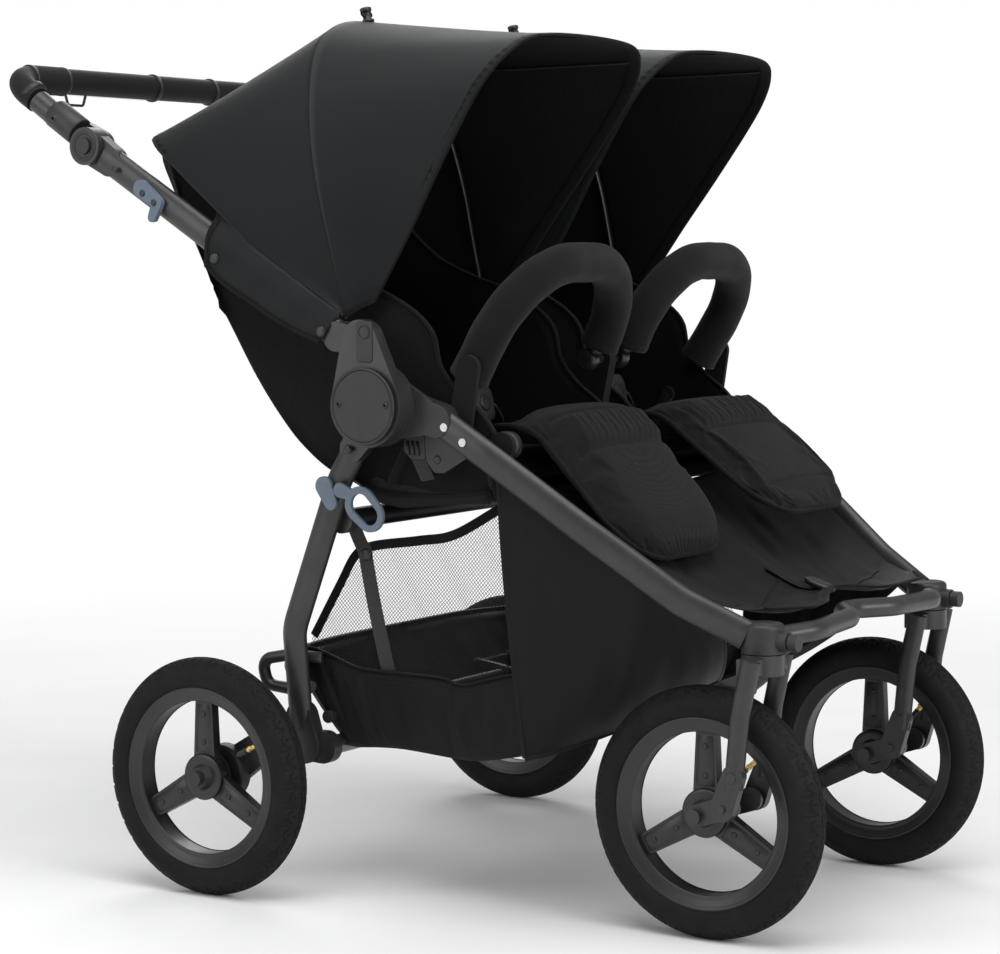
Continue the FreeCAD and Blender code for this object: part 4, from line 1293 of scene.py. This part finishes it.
def bumper(side_name, side):
    """Padded arch: wrapped foam with a sewn seam, elastic ends, and a round joint at each foot."""
    inner, outer = 38, 284
    near_foot, far_foot = (-346, 654), (-380, 683)
    crest = (-431, 790)
    line = filleted([at(side * inner, *far_foot), at(side * (inner - 2), *crest),
                     at(side * (outer + 10), *crest),
                     at(side * outer, *near_foot)], 102)
    body = f"{side_name}_bumper_bar"

    def soft(u):
        ends = min(u, 1 - u)
        return 1.0 + 0.01 * math.sin(60 * u) - 0.1 * math.exp(-(ends / 0.012) ** 2)

    foam = tube(f"{side_name}_bumper_foam", line, circle(24.3 * MM, 40), WRAP, up=Vector((0, 1, 0.3)),
                scale=soft)
    put(foam, body, [f"{side_name}_bumper_bar"])
    rear = Vector((0, 1, 0.5)).normalized()
    seam_line, outs = [], []
    for index, point in enumerate(line):
        ahead = (line[min(index + 1, len(line) - 1)] - line[max(index - 1, 0)]).normalized()
        out = (rear - ahead * rear.dot(ahead)).normalized()
        seam_line.append(point + out * (23.9 * MM))
        outs.append(out)
    put(tube(f"{side_name}_bumper_seam", seam_line[3:-3], oval(3 * MM, 2 * MM, 8), WRAP), body)
    sides = [out.cross((b - a).normalized()) for out, a,
             b in zip(outs, line, line[1:] + [2 * line[-1] - line[-2]])]
    threads = []
    for way in (-1, 1):
        path = [p + s * (way * 3.6 * MM) - o * (0.1 * MM) for p, s,
                o in zip(seam_line, sides, outs)][3:-3]
        threads.append(stitch_line("stitch", path, outs[3:-3]))
    put(join(f"{side_name}_bumper_stitches", threads), body)
    cuffs = []
    stems = []
    for path in (line[:4], line[:-5:-1]):
        ring = circle(24.8 * MM, 48)
        puckered = [(a * (1 + 0.02 * math.sin(16 * k * math.pi / 24)),
                     b * (1 + 0.02 * math.sin(16 * k * math.pi / 24)))
                    for k, (a, b) in enumerate(ring)]
        cuffs.append(tube("cuff", path, puckered, WRAP,
                          scale=lambda u: 0.94 + 0.08 * math.sin(math.pi * min(0.15 + u, 1))))
        foot = path[0]
        end = at(1000 * foot.x, *BUMPER_PIVOT)
        stems.append(tube("stem", [foot + (foot - end) * 0.2, end], circle(8 * MM, 20), SMOOTH))
        stems.append(lathe("joint", [(-0.0085, 0.010), (-0.0078, 0.0128), (-0.005, 0.014), (0.005, 0.014),
                                     (0.0078, 0.0128),
                                     (0.0085, 0.010)], end, Vector((1, 0, 0)), SMOOTH, 32))
    put(join(f"{side_name}_bumper_cuffs", cuffs), body)
    put(join(f"{side_name}_bumper_joints", stems), body)


for side_name, side in SIDES.items():
    leg_pad(side_name, side)
    seat_back(side_name, side)
    harness(side_name, side)
    buckle(side_name, side)
    bumper(side_name, side)
CUSHIONS = [seat_cushion(side_name, side) for side_name, side in SIDES.items()]
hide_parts("seat_pads", "harness_buckles")


# ---------------------------------------------------------------- seat shells

SHELL_OUTER, SHELL_INNER, SHELL_CORNER = 306, 32, 46
SHELL_ROWS, WING_STEPS, CORNER_STEPS, BACK_STEPS = 60, 15, 5, 22
SHELL_REAR = [(100, 935, 0), (88, 872, 0), (60, 806, 0), (27, 740, 0), (-2, 693, 0), (-33, 645, 0),
              (-66, 600, 0),
              (-100, 562, 0), (-146, 530, 0), (-215, 509, 0), (-300, 503, 0), (-388, 508, 0)]
SHELL_FRONT = [(8, 922, 0), (-70, 850, 0), (-128, 800, 0), (-180, 775, 0), (-232, 758, 0), (-282, 733, 0),
               (-310, 706, 0), (-320, 668, 0), (-344, 638, 0), (-376, 614, 0), (-396, 590, 0),
               (-404, 570, 0)]


def shell_outline(t, fore, rear):
    """One row round the shell: outer wing, rounded corner, back, corner and inner wing."""
    row = []
    for k in range(WING_STEPS):
        reach = k / WING_STEPS
        back, up, _ = fore.lerp(rear, reach)
        row.append((SHELL_OUTER - 5 * math.sin(math.pi * reach) + 1.2 * math.sin(9 * reach + 14 * t),
                    back, up))
    turns = [math.radians(90) * k / (CORNER_STEPS - 1) for k in range(CORNER_STEPS)]
    row += [(SHELL_OUTER - SHELL_CORNER + SHELL_CORNER * math.cos(turn), rear[0], rear[1])
            for turn in turns]
    flat = SHELL_OUTER - SHELL_INNER - 2 * SHELL_CORNER
    row += [(SHELL_OUTER - SHELL_CORNER - flat * k / BACK_STEPS, rear[0], rear[1])
            for k in range(1, BACK_STEPS)]
    row += [(SHELL_INNER + SHELL_CORNER - SHELL_CORNER * math.sin(turn), rear[0], rear[1])
            for turn in turns]
    for k in range(1, WING_STEPS + 1):
        back, up, _ = rear.lerp(fore, k / WING_STEPS)
        row.append((SHELL_INNER + 4 * math.sin(math.pi * k / WING_STEPS), back, up))
    return row


def shell_pull(x, t):
    """How far the back stands forward of its line: curved in at the corners, slack and creased between."""
    inward = 0.0
    if x > SHELL_OUTER - SHELL_CORNER:
        inward = (x - (SHELL_OUTER - SHELL_CORNER)) / SHELL_CORNER
    elif x < SHELL_INNER + SHELL_CORNER:
        inward = (SHELL_INNER + SHELL_CORNER - x) / SHELL_CORNER
    slack = 10 * math.sin(math.pi * min(max((x - SHELL_INNER) / (SHELL_OUTER - SHELL_INNER), 0), 1))
    crease = 1.6 * math.sin(11 * t + 0.03 * x) * math.sin(math.pi * t)
    return 14 * min(inward, 1) ** 2 - slack * 0.5 - crease


def shell_rows(side):
    """Every row of one shell, from the top of the back down to the calf pad."""
    rows = []
    for number, (rear,
                 fore) in enumerate(zip(spline(SHELL_REAR, SHELL_ROWS), spline(SHELL_FRONT, SHELL_ROWS))):
        t = number / (SHELL_ROWS - 1)
        ahead = Vector((fore[0] - rear[0], fore[1] - rear[1]))
        ahead.normalize()
        row = shell_outline(t, fore, rear)
        spots = []
        for index, (x, back, up) in enumerate(row):
            if WING_STEPS <= index < len(row) - WING_STEPS:
                pull = shell_pull(x, t)
                back += ahead.x * pull
                up += ahead.y * pull
            spots.append(at(side * x, back, up))
        rows.append(spots)
    return rows


def seat_shell(side_name, side):
    """The cloth tub of one seat: a slack back, and wings that run forward to the bumper's feet."""
    rows = shell_rows(side)
    shell = grid(f"{side_name}_seat_shell", rows if side > 0 else [row[::-1] for row in rows], NYLON)
    thicken(shell, 1.4 * MM, 0, SEAT)
    body = f"{side_name}_seat_back"
    span = ("root", body, at(0, -175, 575), at(0, -60, 712))
    blended(shell, *span, "seat_cloth")
    long = max(row_length(row) for row in rows)
    wide = max(row_length(column) for column in zip(*rows))
    for part, k, beside, out in (("outer", 0, 1, Vector((side, 0, 0))),
                                 ("inner", -1, -2, Vector((-side, 0, 0)))):
        edge = [row[k] for row in rows]
        band = tube(f"{side_name}_seat_{part}_binding", edge, oval(8 * MM, 3.4 * MM, 10, 3), PIPING)
        blended(band, *span, "seat_cloth")
        line = [row[k].lerp(row[beside], 0.35) + out * (1.4 * MM) for row in rows]
        thread = stitch_line(f"{side_name}_seat_{part}_stitches", line, [out] * len(line))
        blended(thread, *span, "webbing")
    band = tube(f"{side_name}_seat_top_binding", rows[0], oval(8 * MM, 3.4 * MM, 10, 3), PIPING)
    put(band, body)


both_sides(seat_shell)


# ---------------------------------------------------------------- basket

RIM_LINE = [(0, -44, 303), (150, -43, 302), (250, -48, 298), (284, -78, 303), (285, -104, 311),
            (284, -130, 306),
            (283, -173, 292), (283, -204, 289), (283, -300, 288), (283, -335, 282), (283, -401, 299),
            (276, -440, 300),
            (246, -470, 300), (200, -492, 300), (140, -508, 302), (84, -520, 304), (36, -532, 306),
            (0, -536, 306)]
BASE_LINE = [(0, -136, 192), (150, -137, 190), (232, -138, 188), (258, -146, 188), (266, -160, 188),
             (268, -176, 189),
             (268, -200, 191), (268, -240, 192), (268, -310, 188), (267, -345, 188), (266, -396, 197),
             (256, -426, 204),
             (226, -450, 214), (180, -474, 225), (124, -486, 234), (76, -494, 244), (32, -505, 257),
             (0, -510, 262)]
MESH_TOP = [(-112, 326), (-152, 392), (-177, 431), (-205, 444), (-272, 454), (-324, 464), (-392, 500)]
MESH_BOTTOM = [(-104, 311), (-130, 306), (-173, 292), (-204, 289), (-300, 288), (-335, 282), (-401, 299)]


def sagging(piece, replaces=()):
    """A basket piece, fastened to the root with a mesh of its own."""
    put(piece, "root", replaces)
    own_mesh(piece)
    return piece


def gathered(piece):
    """A skirt piece, fastened to the root with a mesh of its own."""
    put(piece, "root")
    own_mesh(piece)
    return piece


def looped(half, count):
    """A full loop through one given half and its mirror image."""
    right = [Vector(p) for p in spline(half, count)]
    left = [Vector((-p.x, p.y, p.z)) for p in reversed(right[1:-1])]
    return right + left


def basket_tub():
    """The solid part of the basket: soft walls with loose folds, and a sagging floor."""
    rim, base = looped(RIM_LINE, 150), looped(BASE_LINE, 150)
    rows = []
    for j in range(21):
        v = j / 20
        row = []
        for k, (top, low) in enumerate(zip(rim, base)):
            spot = top.lerp(low, v ** 0.92)
            out = Vector((top.x, top.y + 320, 0)).normalized()
            fold = 2.6 * math.sin(0.31 * k + 2.2 * v) + 1.7 * math.sin(0.83 * k - 3 * v)
            fold += 1.1 * math.sin(1.7 * k + v)
            spot += out * ((5.5 + fold) * math.sin(math.pi * v) ** 0.8)
            row.append(at(*spot))
        rows.append(row)
    heart = Vector((0, -330, 183))
    for fraction in (0.985, 0.95, 0.86, 0.7, 0.5, 0.28, 0.05):
        row = []
        for k, low in enumerate(base):
            spot = heart.lerp(low, fraction)
            sway = math.sin(math.pi * fraction)
            spot.z -= 4 * sway + 1.2 * math.sin(0.5 * k) * sway
            row.append(at(*spot))
        rows.append(row)
    tub = grid("basket_tub", rows, NYLON, round_rows=True)
    thicken(tub, 1.4 * MM, 0)
    sagging(tub, ["basket"])
    wide = row_length(rows[0]) / 4
    edge = rows[0] + rows[0][:1]
    sagging(tube("basket_rim", edge, oval(9 * MM, 3.2 * MM, 10, 3), NYLON, up=Vector((0, 0, 1))))
    lines = []
    for j, share in ((1, 0.1), (2, 0.05)):
        line, outs = [], []
        for k in range(14, 92):
            out = (rows[j][k] - at(0, -320, 1000 * rows[j][k].z)).normalized()
            line.append(rows[j][k].lerp(rows[j + 1][k], share) + out * (0.7 * MM))
            outs.append(out)
        lines.append(stitch_line("stitch", line, outs))
        lines.append(stitch_line("stitch", [Vector((-p.x, p.y, p.z)) for p in line],
                                 [Vector((-o.x, o.y, o.z)) for o in outs]))
    sagging(join("basket_rim_stitches", lines))


def inside(point, outline):
    """Whether a flat point lies within a closed outline."""
    found = False
    for (ax, ay), (bx, by) in zip(outline, outline[1:] + outline[:1]):
        if (ay > point[1]) != (by > point[1]):
            if point[0] < (bx - ax) * (point[1] - ay) / (by - ay) + ax:
                found = not found
    return found


HALF_CELL, CELL_STRETCH, YARN = 2.25, 1.12, 0.95


def net(name, side, outline):
    """Knitted mesh as real diamond cells, clipped to an outline in the side view."""
    backs, ups = [p[0] for p in outline], [p[1] for p in outline]
    columns = int((max(backs) - min(backs)) / HALF_CELL) + 2
    rows = int((max(ups) - min(ups)) / HALF_CELL) + 2
    verts, faces, known = [], [], {}

    def spot(i, j):
        if (i, j) not in known:
            back = min(backs) + i * HALF_CELL
            up = min(ups) + j * HALF_CELL * CELL_STRETCH
            ripple = 1.6 * math.sin(0.19 * i - 0.13 * j) * math.sin(math.pi * j / rows)
            slack = 5 * math.sin(math.pi * i / columns) + ripple
            known[(i, j)] = len(verts)
            verts.append(at(side * (284 - slack), back, up))
        return known[(i, j)]

    for i in range(1, columns):
        for j in range(1, rows):
            here = (min(backs) + i * HALF_CELL, min(ups) + j * HALF_CELL * CELL_STRETCH)
            if (i + j) % 2 and inside(here, outline):
                faces.append([spot(i - 1, j), spot(i, j - 1), spot(i + 1, j), spot(i, j + 1)])
    piece = new_piece(name, verts, faces, MESH)
    shape = bmesh.new()
    shape.from_mesh(piece.data)
    bmesh.ops.wireframe(shape, faces=shape.faces[:], thickness=YARN * MM, use_replace=True,
                        use_boundary=True)
    shape.to_mesh(piece.data)
    shape.free()
    return piece


def basket_side(side_name, side):
    """Mesh side panel with its bound edges, a webbing brace and a snap."""
    top = [(p[0], p[1]) for p in spline([(*p, 0) for p in MESH_TOP], 60)]
    bottom = [(p[0], p[1]) for p in spline([(*p, 0) for p in MESH_BOTTOM], 60)]
    panel = net(f"{side_name}_basket_mesh", side, top + bottom[::-1])
    sagging(panel)
    out = Vector((side, 0, 0))
    edge = [at(side * 284, *p) for p in top]
    sagging(tube(f"{side_name}_basket_hem", edge, oval(3 * MM, 12 * MM, 12, 3), PIPING,
                 up=Vector((0, 0, 1))))
    brace = [at(side * x, *p) for x,
             p in ((286, (-190, 447)), (282.5, (-203, 372)), (281, (-221, 296)), (277, (-224, 272)))]
    sagging(strap(f"{side_name}_basket_brace", spline(brace, 24), 21 * MM, 2 * MM, out, WEBBING))
    tab = [at(side * x, *p) for x,
           p in ((286, (-196, 430)), (287, (-184, 452)), (292, (-176, 478)), (300, (-178, 489)))]
    sagging(strap(f"{side_name}_basket_tab", spline(tab, 16), 20 * MM, 2 * MM, out, WEBBING))
    snap = lathe(f"{side_name}_basket_snap",
                 [(0, 0.0078), (0.0016, 0.0074), (0.0028, 0.0052), (0.003, 0.002)],
                 at(side * 287.2, -195, 433), out, SMOOTH, 28)
    sagging(snap)


def skirt(side_name, side):
    """Nylon side hung from the rail in long soft drapes, running in to a prow under the footwell."""
    top = spline([(312, -404, 548), (310, -440, 522), (300, -530, 466), (280, -600, 420),
                  (268, -640, 396), (252, -668, 378)], 100)
    low = spline([(276, -417, 199), (262, -442, 205), (232, -462, 213), (180, -488, 225),
                  (110, -500, 236), (30, -514, 255),
                  (2, -532, 266)], 100)
    mid = spline([(300, -412, 372), (294, -452, 348), (272, -510, 324), (240, -550, 312),
                  (200, -580, 306), (164, -604, 306),
                  (140, -616, 316)], 100)
    rows = []
    for j in range(41):
        v = j / 40
        row = []
        for k in range(100):
            u = k / 99
            spot = Vector(top[k]) * ((1 - v) * (1 - 2 * v)) + Vector(mid[k]) * (4 * v * (1 - v))
            spot = spot + Vector(low[k]) * (v * (2 * v - 1))
            drape = math.sin(14.5 * u + 2.6 * v) + 0.6 * math.sin(27 * u - 1.8 * v + 1.3)
            drape += 0.35 * math.sin(52 * u + 4 * v)
            sharp = 0.5 * abs(math.sin(9 * u + 1.4 * v + 0.8)) ** 3
            billow = math.sin(math.pi * min(v * 0.92 + 0.04, 1)) ** 0.7
            depth = (2.0 + 4.6 * drape * u ** 0.4 - 6 * sharp) * billow
            spot.x += depth * (1 - 0.5 * u) + 4 * math.sin(math.pi * v)
            spot.y -= 0.6 * u * depth
            row.append(at(side * spot.x, spot.y, spot.z))
        rows.append(row)
    piece = grid(f"{side_name}_basket_skirt", rows if side > 0 else [row[::-1] for row in rows], NYLON)
    thicken(piece, 1.2 * MM, 0)
    gathered(piece)
    long = max(row_length(row) for row in rows)
    tall = max(row_length(column) for column in zip(*rows))
    out = Vector((side, 0, 0))
    front = [row[0] for row in rows]
    gathered(tube(f"{side_name}_skirt_edge", front, oval(6 * MM, 2.6 * MM, 10, 3), NYLON, up=out))
    gathered(tube(f"{side_name}_skirt_hem", rows[-1], oval(2.6 * MM, 7 * MM, 10, 3), NYLON,
                  up=Vector((0, 0, 1))))
    last = [row[-1] for row in rows]
    gathered(tube(f"{side_name}_skirt_front_edge", last, oval(6 * MM, 2.6 * MM, 10, 3), NYLON, up=out))
    line = [row[0].lerp(row[1], 0.9) + out * (1.2 * MM) for row in rows]
    gathered(stitch_line(f"{side_name}_skirt_stitches", line, [out] * len(line)))


basket_tub()
for side_name, side in SIDES.items():
    basket_side(side_name, side)
    skirt(side_name, side)


# ---------------------------------------------------------------- footwell

RIDGE = [(-440, 506), (-520, 462), (-606, 408), (-645, 390), (-745, 378)]


def footwell():
    """Loose nylon floor between the rails, raised along its middle, with a bound and stitched front lip."""
    reach = [(-440, 301), (-540, 287), (-620, 257), (-680, 224), (-745, 182)]
    edge_up = [(-440, 524), (-530, 470), (-600, 424), (-650, 398), (-700, 386), (-745, 384)]
    rows = []
    for j in range(61):
        v = j / 60
        row = []
        for k in range(121):
            u = -1 + k / 60
            front = -688 - 50 * math.sin(math.pi / 2 * min(abs(u) * 1.25, 1)) ** 1.4
            front += 34 * max(abs(u) - 0.84, 0) / 0.16
            back = -440 + (front + 440) * v
            x = u * between(reach, back)
            share = abs(u) ** 1.5
            up = between(RIDGE, back) * (1 - share) + between(edge_up, back) * share
            sag = 24 * math.sin(math.pi * min(v * 1.02, 1)) ** 1.2 * (v ** 0.5)
            up -= sag * math.sin(math.pi * abs(u) ** 0.9) ** 1.1
            crease = math.sin(13 * abs(u) + 5 * v + (1 if u < 0 else 0))
            crease += 0.6 * math.sin(29 * abs(u) - 8 * v + 3 * u)
            crease += 0.5 * math.sin(47 * abs(u) + 11 * v)
            up += 2.4 * crease * math.sin(math.pi * v) * math.sin(math.pi * abs(u))
            up += 7 * math.exp(-((v - 1) / 0.05) ** 2) + 2 * math.sin(9 * u + 1) * v ** 6
            row.append(at(x, back, up))
        rows.append(row)
    floor = grid("footwell_cloth", rows, NYLON)
    thicken(floor, 1.4 * MM, 0)
    put(floor, "root", ["footwell"])
    long = max(row_length(column) for column in zip(*rows))
    wide = max(row_length(row) for row in rows)
    put(tube("footwell_binding", rows[-1], oval(8 * MM, 3.6 * MM, 12, 3), PIPING), "root")
    lines = []
    for j, share in ((58, 0.2), (44, 0.5)):
        line = [a.lerp(b, share) + Vector((0, 0, 1.1 * MM)) for a, b in zip(rows[j], rows[j + 1])][4:-4]
        lines.append(stitch_line("stitch", line, [Vector((0, -0.3, 1)).normalized()] * len(line)))
    put(join("footwell_stitches", lines), "root")
    seam = [p + Vector((0, 0, 1.4 * MM)) for p in rows[44][3:-3]]
    put(tube("footwell_seam", seam, oval(2.6 * MM, 1.6 * MM, 8), NYLON), "root")


def footwell_clip():
    """The plastic clip that holds the footwell at its middle: a ribbed plate on a webbing tab."""
    centre = at(0, -672, 395)
    fore, up = Vector((0, -1, -0.32)).normalized(), Vector((0, -0.32, 1)).normalized()
    rows = []
    for height, size in ((-3, 0.94), (-1, 1.0), (2, 1.0), (3.4, 0.93), (3.6, 0.8)):
        rows.append([centre + Vector((a * size, 0, 0)) + fore * (b * size) + up * (height * MM)
                     for a, b in oval(24 * MM, 40 * MM, 36, 3)])
    plate = grid("footwell_clip", rows, SMOOTH, round_rows=True)
    cap(plate, 36, len(rows))
    ribs = [tube("rib", [centre + fore * (step * MM) + Vector((x * MM, 0, 0)) + up * (3.6 * MM)
                         for x in (-8, -4, 0, 4, 8)],
                 circle(0.9 * MM, 8), SMOOTH) for step in (-9, -3, 3, 9)]
    put(join("footwell_clip_plate", [plate] + ribs), "root")
    path = [at(0, back, between(RIDGE, back) + 2.4) for back in (-666, -650, -634, -618, -602)]
    put(strap("footwell_tab", spline(path, 20), 24 * MM, 2 * MM, up, NYLON), "root")


footwell()
footwell_clip()


# ---------------------------------------------------------------- small hardware

HUB = (-251, 621)
HANDLE = "push_bar"


def rivet(place, out, radius, material, height=1.6):
    """Domed rivet head with a soft edge."""
    r, h = radius * MM, height * MM
    return lathe("rivet",
                 [(-0.5 * MM, r), (0.35 * h, r), (0.7 * h, 0.86 * r), (0.95 * h, 0.55 * r), (h, 0.2 * r)],
                 place, out, material, 28)


def socket_screw(place, out, radius):
    """Button-head screw with a hexagonal socket."""
    r = radius * MM
    head = lathe("screw", [(-0.5 * MM, r), (0.8 * MM, r), (1.7 * MM, 0.8 * r), (2.1 * MM, 0.58 * r),
                           (2.1 * MM, 0.46 * r)],
                 place, out, SMOOTH, 36)
    well = lathe("screw", [(2.1 * MM, 0.46 * r), (0.5 * MM, 0.42 * r), (0.4 * MM, 0.1 * r)], place, out,
                 SMOOTH, 6)
    return [head, well]


def slab(name, outline, out, thickness):
    """A flat moulded plate over an outline of points, with its outer edge rounded over."""
    bevel = 0.8
    centre = sum(outline, Vector()) / len(outline)
    rows = []
    for height, inset in ((0, 0), (thickness - bevel, 0), (thickness - 0.3 * bevel, 0.35 * bevel),
                          (thickness, bevel)):
        row = []
        for point in outline:
            inward = (centre - point).normalized()
            row.append(point + inward * (inset * MM) + out * (height * MM))
        rows.append(row)
    piece = grid(name, rows, PLASTIC, round_rows=True)
    cap(piece, len(outline), len(rows))
    return piece


def side_shape(side, x, corners, bend):
    """A closed side-view outline with rounded corners."""
    points = [at(side * x, *corner) for corner in corners]
    start = points[0].lerp(points[-1], 0.5)
    return filleted([start] + points + [start], bend, 2.0)[:-1]


def hub_trim(side_name, side):
    """Ring and screws of the hub cover, and the fold slider above it."""
    out = Vector((side, 0, 0))
    centre = at(side * 371.6, *HUB)
    ring = lathe(f"{side_name}_hub_ring",
                 [(-1.2 * MM, 0.0462), (0.4 * MM, 0.0462), (1.0 * MM, 0.0452), (1.0 * MM, 0.0438),
                                           (0.2 * MM, 0.0432), (-0.6 * MM, 0.0430)], centre, out, PLASTIC,
                 72)
    put(ring, "handle_frame")
    screws = []
    for way in (-1, 1):
        screws += socket_screw(at(side * 371.9, HUB[0] + way * 34, HUB[1] + 2), out, 3.6)
    put(join(f"{side_name}_hub_screws", screws), "handle_frame")
    corners = [(-240, 673), (-240, 722), (-263, 722), (-263, 673)]
    plate = slab("slider", side_shape(side, 365.6, corners, 4), out, 1.8)
    dish = lathe("slider", [(1.9 * MM, 0.0088), (2.7 * MM, 0.0085), (2.7 * MM, 0.0078),
                            (1.2 * MM, 0.0060), (0.8 * MM, 0.001)],
                 at(side * 365.6, -251.5, 709), out, PLASTIC, 36)
    put(join(f"{side_name}_fold_slider", [plate, dish]), "handle_frame")


def rail_bracket(side_name, side):
    """Triangular seat bracket and side-release clip under the rail, with their rivets."""
    out = Vector((side, 0, 0))
    corners = [(-306, 594), (-308, 556), (-320, 541), (-334, 541), (-377, 566)]
    plate = slab("bracket", side_shape(side, 318, corners, 5), out, 4)
    boss = rivet(at(side * 322, -325, 557), out, 5, SMOOTH, 2.4)
    put(join(f"{side_name}_seat_bracket", [plate, boss]), "root")
    corners = [(-276, 588), (-274, 566), (-284, 556), (-306, 556), (-304, 590)]
    clip = slab("clip", side_shape(side, 312, corners, 4), out, 7)
    bars = [tube("clip", [at(side * 320, back, 561), at(side * 320, back + 2, 578)],
                 oval(3 * MM, 3 * MM, 12, 3), SMOOTH)
            for back in (-282, -289, -296)]
    put(join(f"{side_name}_seat_clip", [clip] + bars), "root")
    strap_path = [at(side * 312, -290, 560), at(side * 306, -296, 540), at(side * 296, -300, 520),
                  at(side * 280, -300, 511)]
    put(strap(f"{side_name}_seat_clip_strap", spline(strap_path, 16), 20 * MM, 2 * MM, out, WEBBING),
        "root")
    place = at(side * 335.6, -204, 566)
    put(rivet(place, out, 5.2, SMOOTH, 2.2), "root").name = f"{side_name}_leg_rivet"


def basket_loop(side_name, side):
    """The bent end of the basket's rear tube, with the hem wrapped round it."""
    path = filleted([at(side * 288, -128, 300), at(side * 302, -84, 302), at(side * 303, -44, 294),
                     at(side * 300, -50, 262),
                     at(side * 296, -104, 257)], 15, 3.0)
    loop = tube(f"{side_name}_basket_loop", path, circle(7.6 * MM, 24), COAT, up=Vector((side, 0, 0)))
    put(loop, "rear_frame")


def handle_trim(side_name, side):
    """Sleeve, ring and rivets of the handle's tilt joint, and the trigger's two rivets."""
    out = Vector((side, 0, 0))
    along = Vector((0, math.cos(math.radians(33)), math.sin(math.radians(33))))
    foot = at(side * 347.5, 203, 957)
    sleeve = lathe(f"{side_name}_handle_sleeve",
                   [(0, 0.0166), (0.0006, 0.0184), (0.002, 0.0190), (0.046, 0.0190), (0.0475, 0.0184),
                                                  (0.048, 0.0166)], foot, along, PLASTIC, 48)
    screw = socket_screw(foot + along * 0.033 + out * 0.0186, out, 4.4)
    collar = lathe("collar", [(0, 0.0166), (0.0008, 0.0186), (0.009, 0.0186), (0.0098, 0.0166)],
                   foot + along * 0.088, along,
                   SMOOTH, 48)
    put(join(f"{side_name}_handle_sleeves", [sleeve, collar] + screw), HANDLE)
    ring = lathe(f"{side_name}_tilt_ring",
                 [(-1.5 * MM, 0.0192), (0.6 * MM, 0.0192), (1.4 * MM, 0.0182), (1.4 * MM, 0.0150),
                                            (-0.2 * MM, 0.0140)], at(side * 366, 181, 939), out, PLASTIC,
                 56)
    put(ring, "handle_frame")
    heads = [rivet(at(side * 366.2, 131, 908), out, 4.4, SMOOTH, 2.0)]
    heads += [rivet(at(side * 369, back, up), out, 4.2, STEEL, 1.8) for back,
              up in ((84, 878), (66, 866))]
    put(join(f"{side_name}_handle_rivets", heads), "handle_frame")


def grip_trim(side_name, side):
    """Ribbed hand area, end rings and a small strap bar on one half of the grip."""
    centre = Vector((0, 0.5465, 1.0305))

    def spot(x, back=0.0, up=0.0):
        return centre + Vector((side * x * MM, back * MM, up * MM))

    ridged = [(a * (1 + 0.035 * (k % 2)), b * (1 + 0.035 * (k % 2))) for k,
              (a, b) in enumerate(circle(18.2 * MM, 72))]
    path = [spot(250 + step) for step in range(0, 61, 2)]
    ribs = tube("ribs", path, ridged, GRIP, scale=lambda u: 1.0 + 0.014 * math.sin(2 * math.pi * 15 * u))
    rings = [lathe("ring", [(0, 0.0168), (0.0008, 0.0192), (0.0034, 0.0192), (0.0042, 0.0168)], spot(x),
                   Vector((side, 0, 0)),
                   SMOOTH, 48) for x in (60, 246, 309)]
    bar = filleted([spot(242, 0, -14), spot(236, 0, -30), spot(206, 0, -30), spot(200, 0, -14)], 4, 2.0)
    rings.append(tube("bar", bar, circle(1.9 * MM, 12), SMOOTH, up=Vector((0, 1, 0))))
    put(ribs, HANDLE).name = f"{side_name}_grip_ribs"
    put(join(f"{side_name}_grip_rings", rings), HANDLE)
    line = [spot(x, -3.4, -17.4) for x in range(64, 244, 3)]
    out = [Vector((0, -0.2, -1)).normalized()] * len(line)
    put(stitch_line(f"{side_name}_grip_stitches", line, out), HANDLE)


wear(["hand_grip"], GRIP)
for side_name, side in SIDES.items():
    hub_trim(side_name, side)
    rail_bracket(side_name, side)
    basket_loop(side_name, side)
    handle_trim(side_name, side)
    grip_trim(side_name, side)
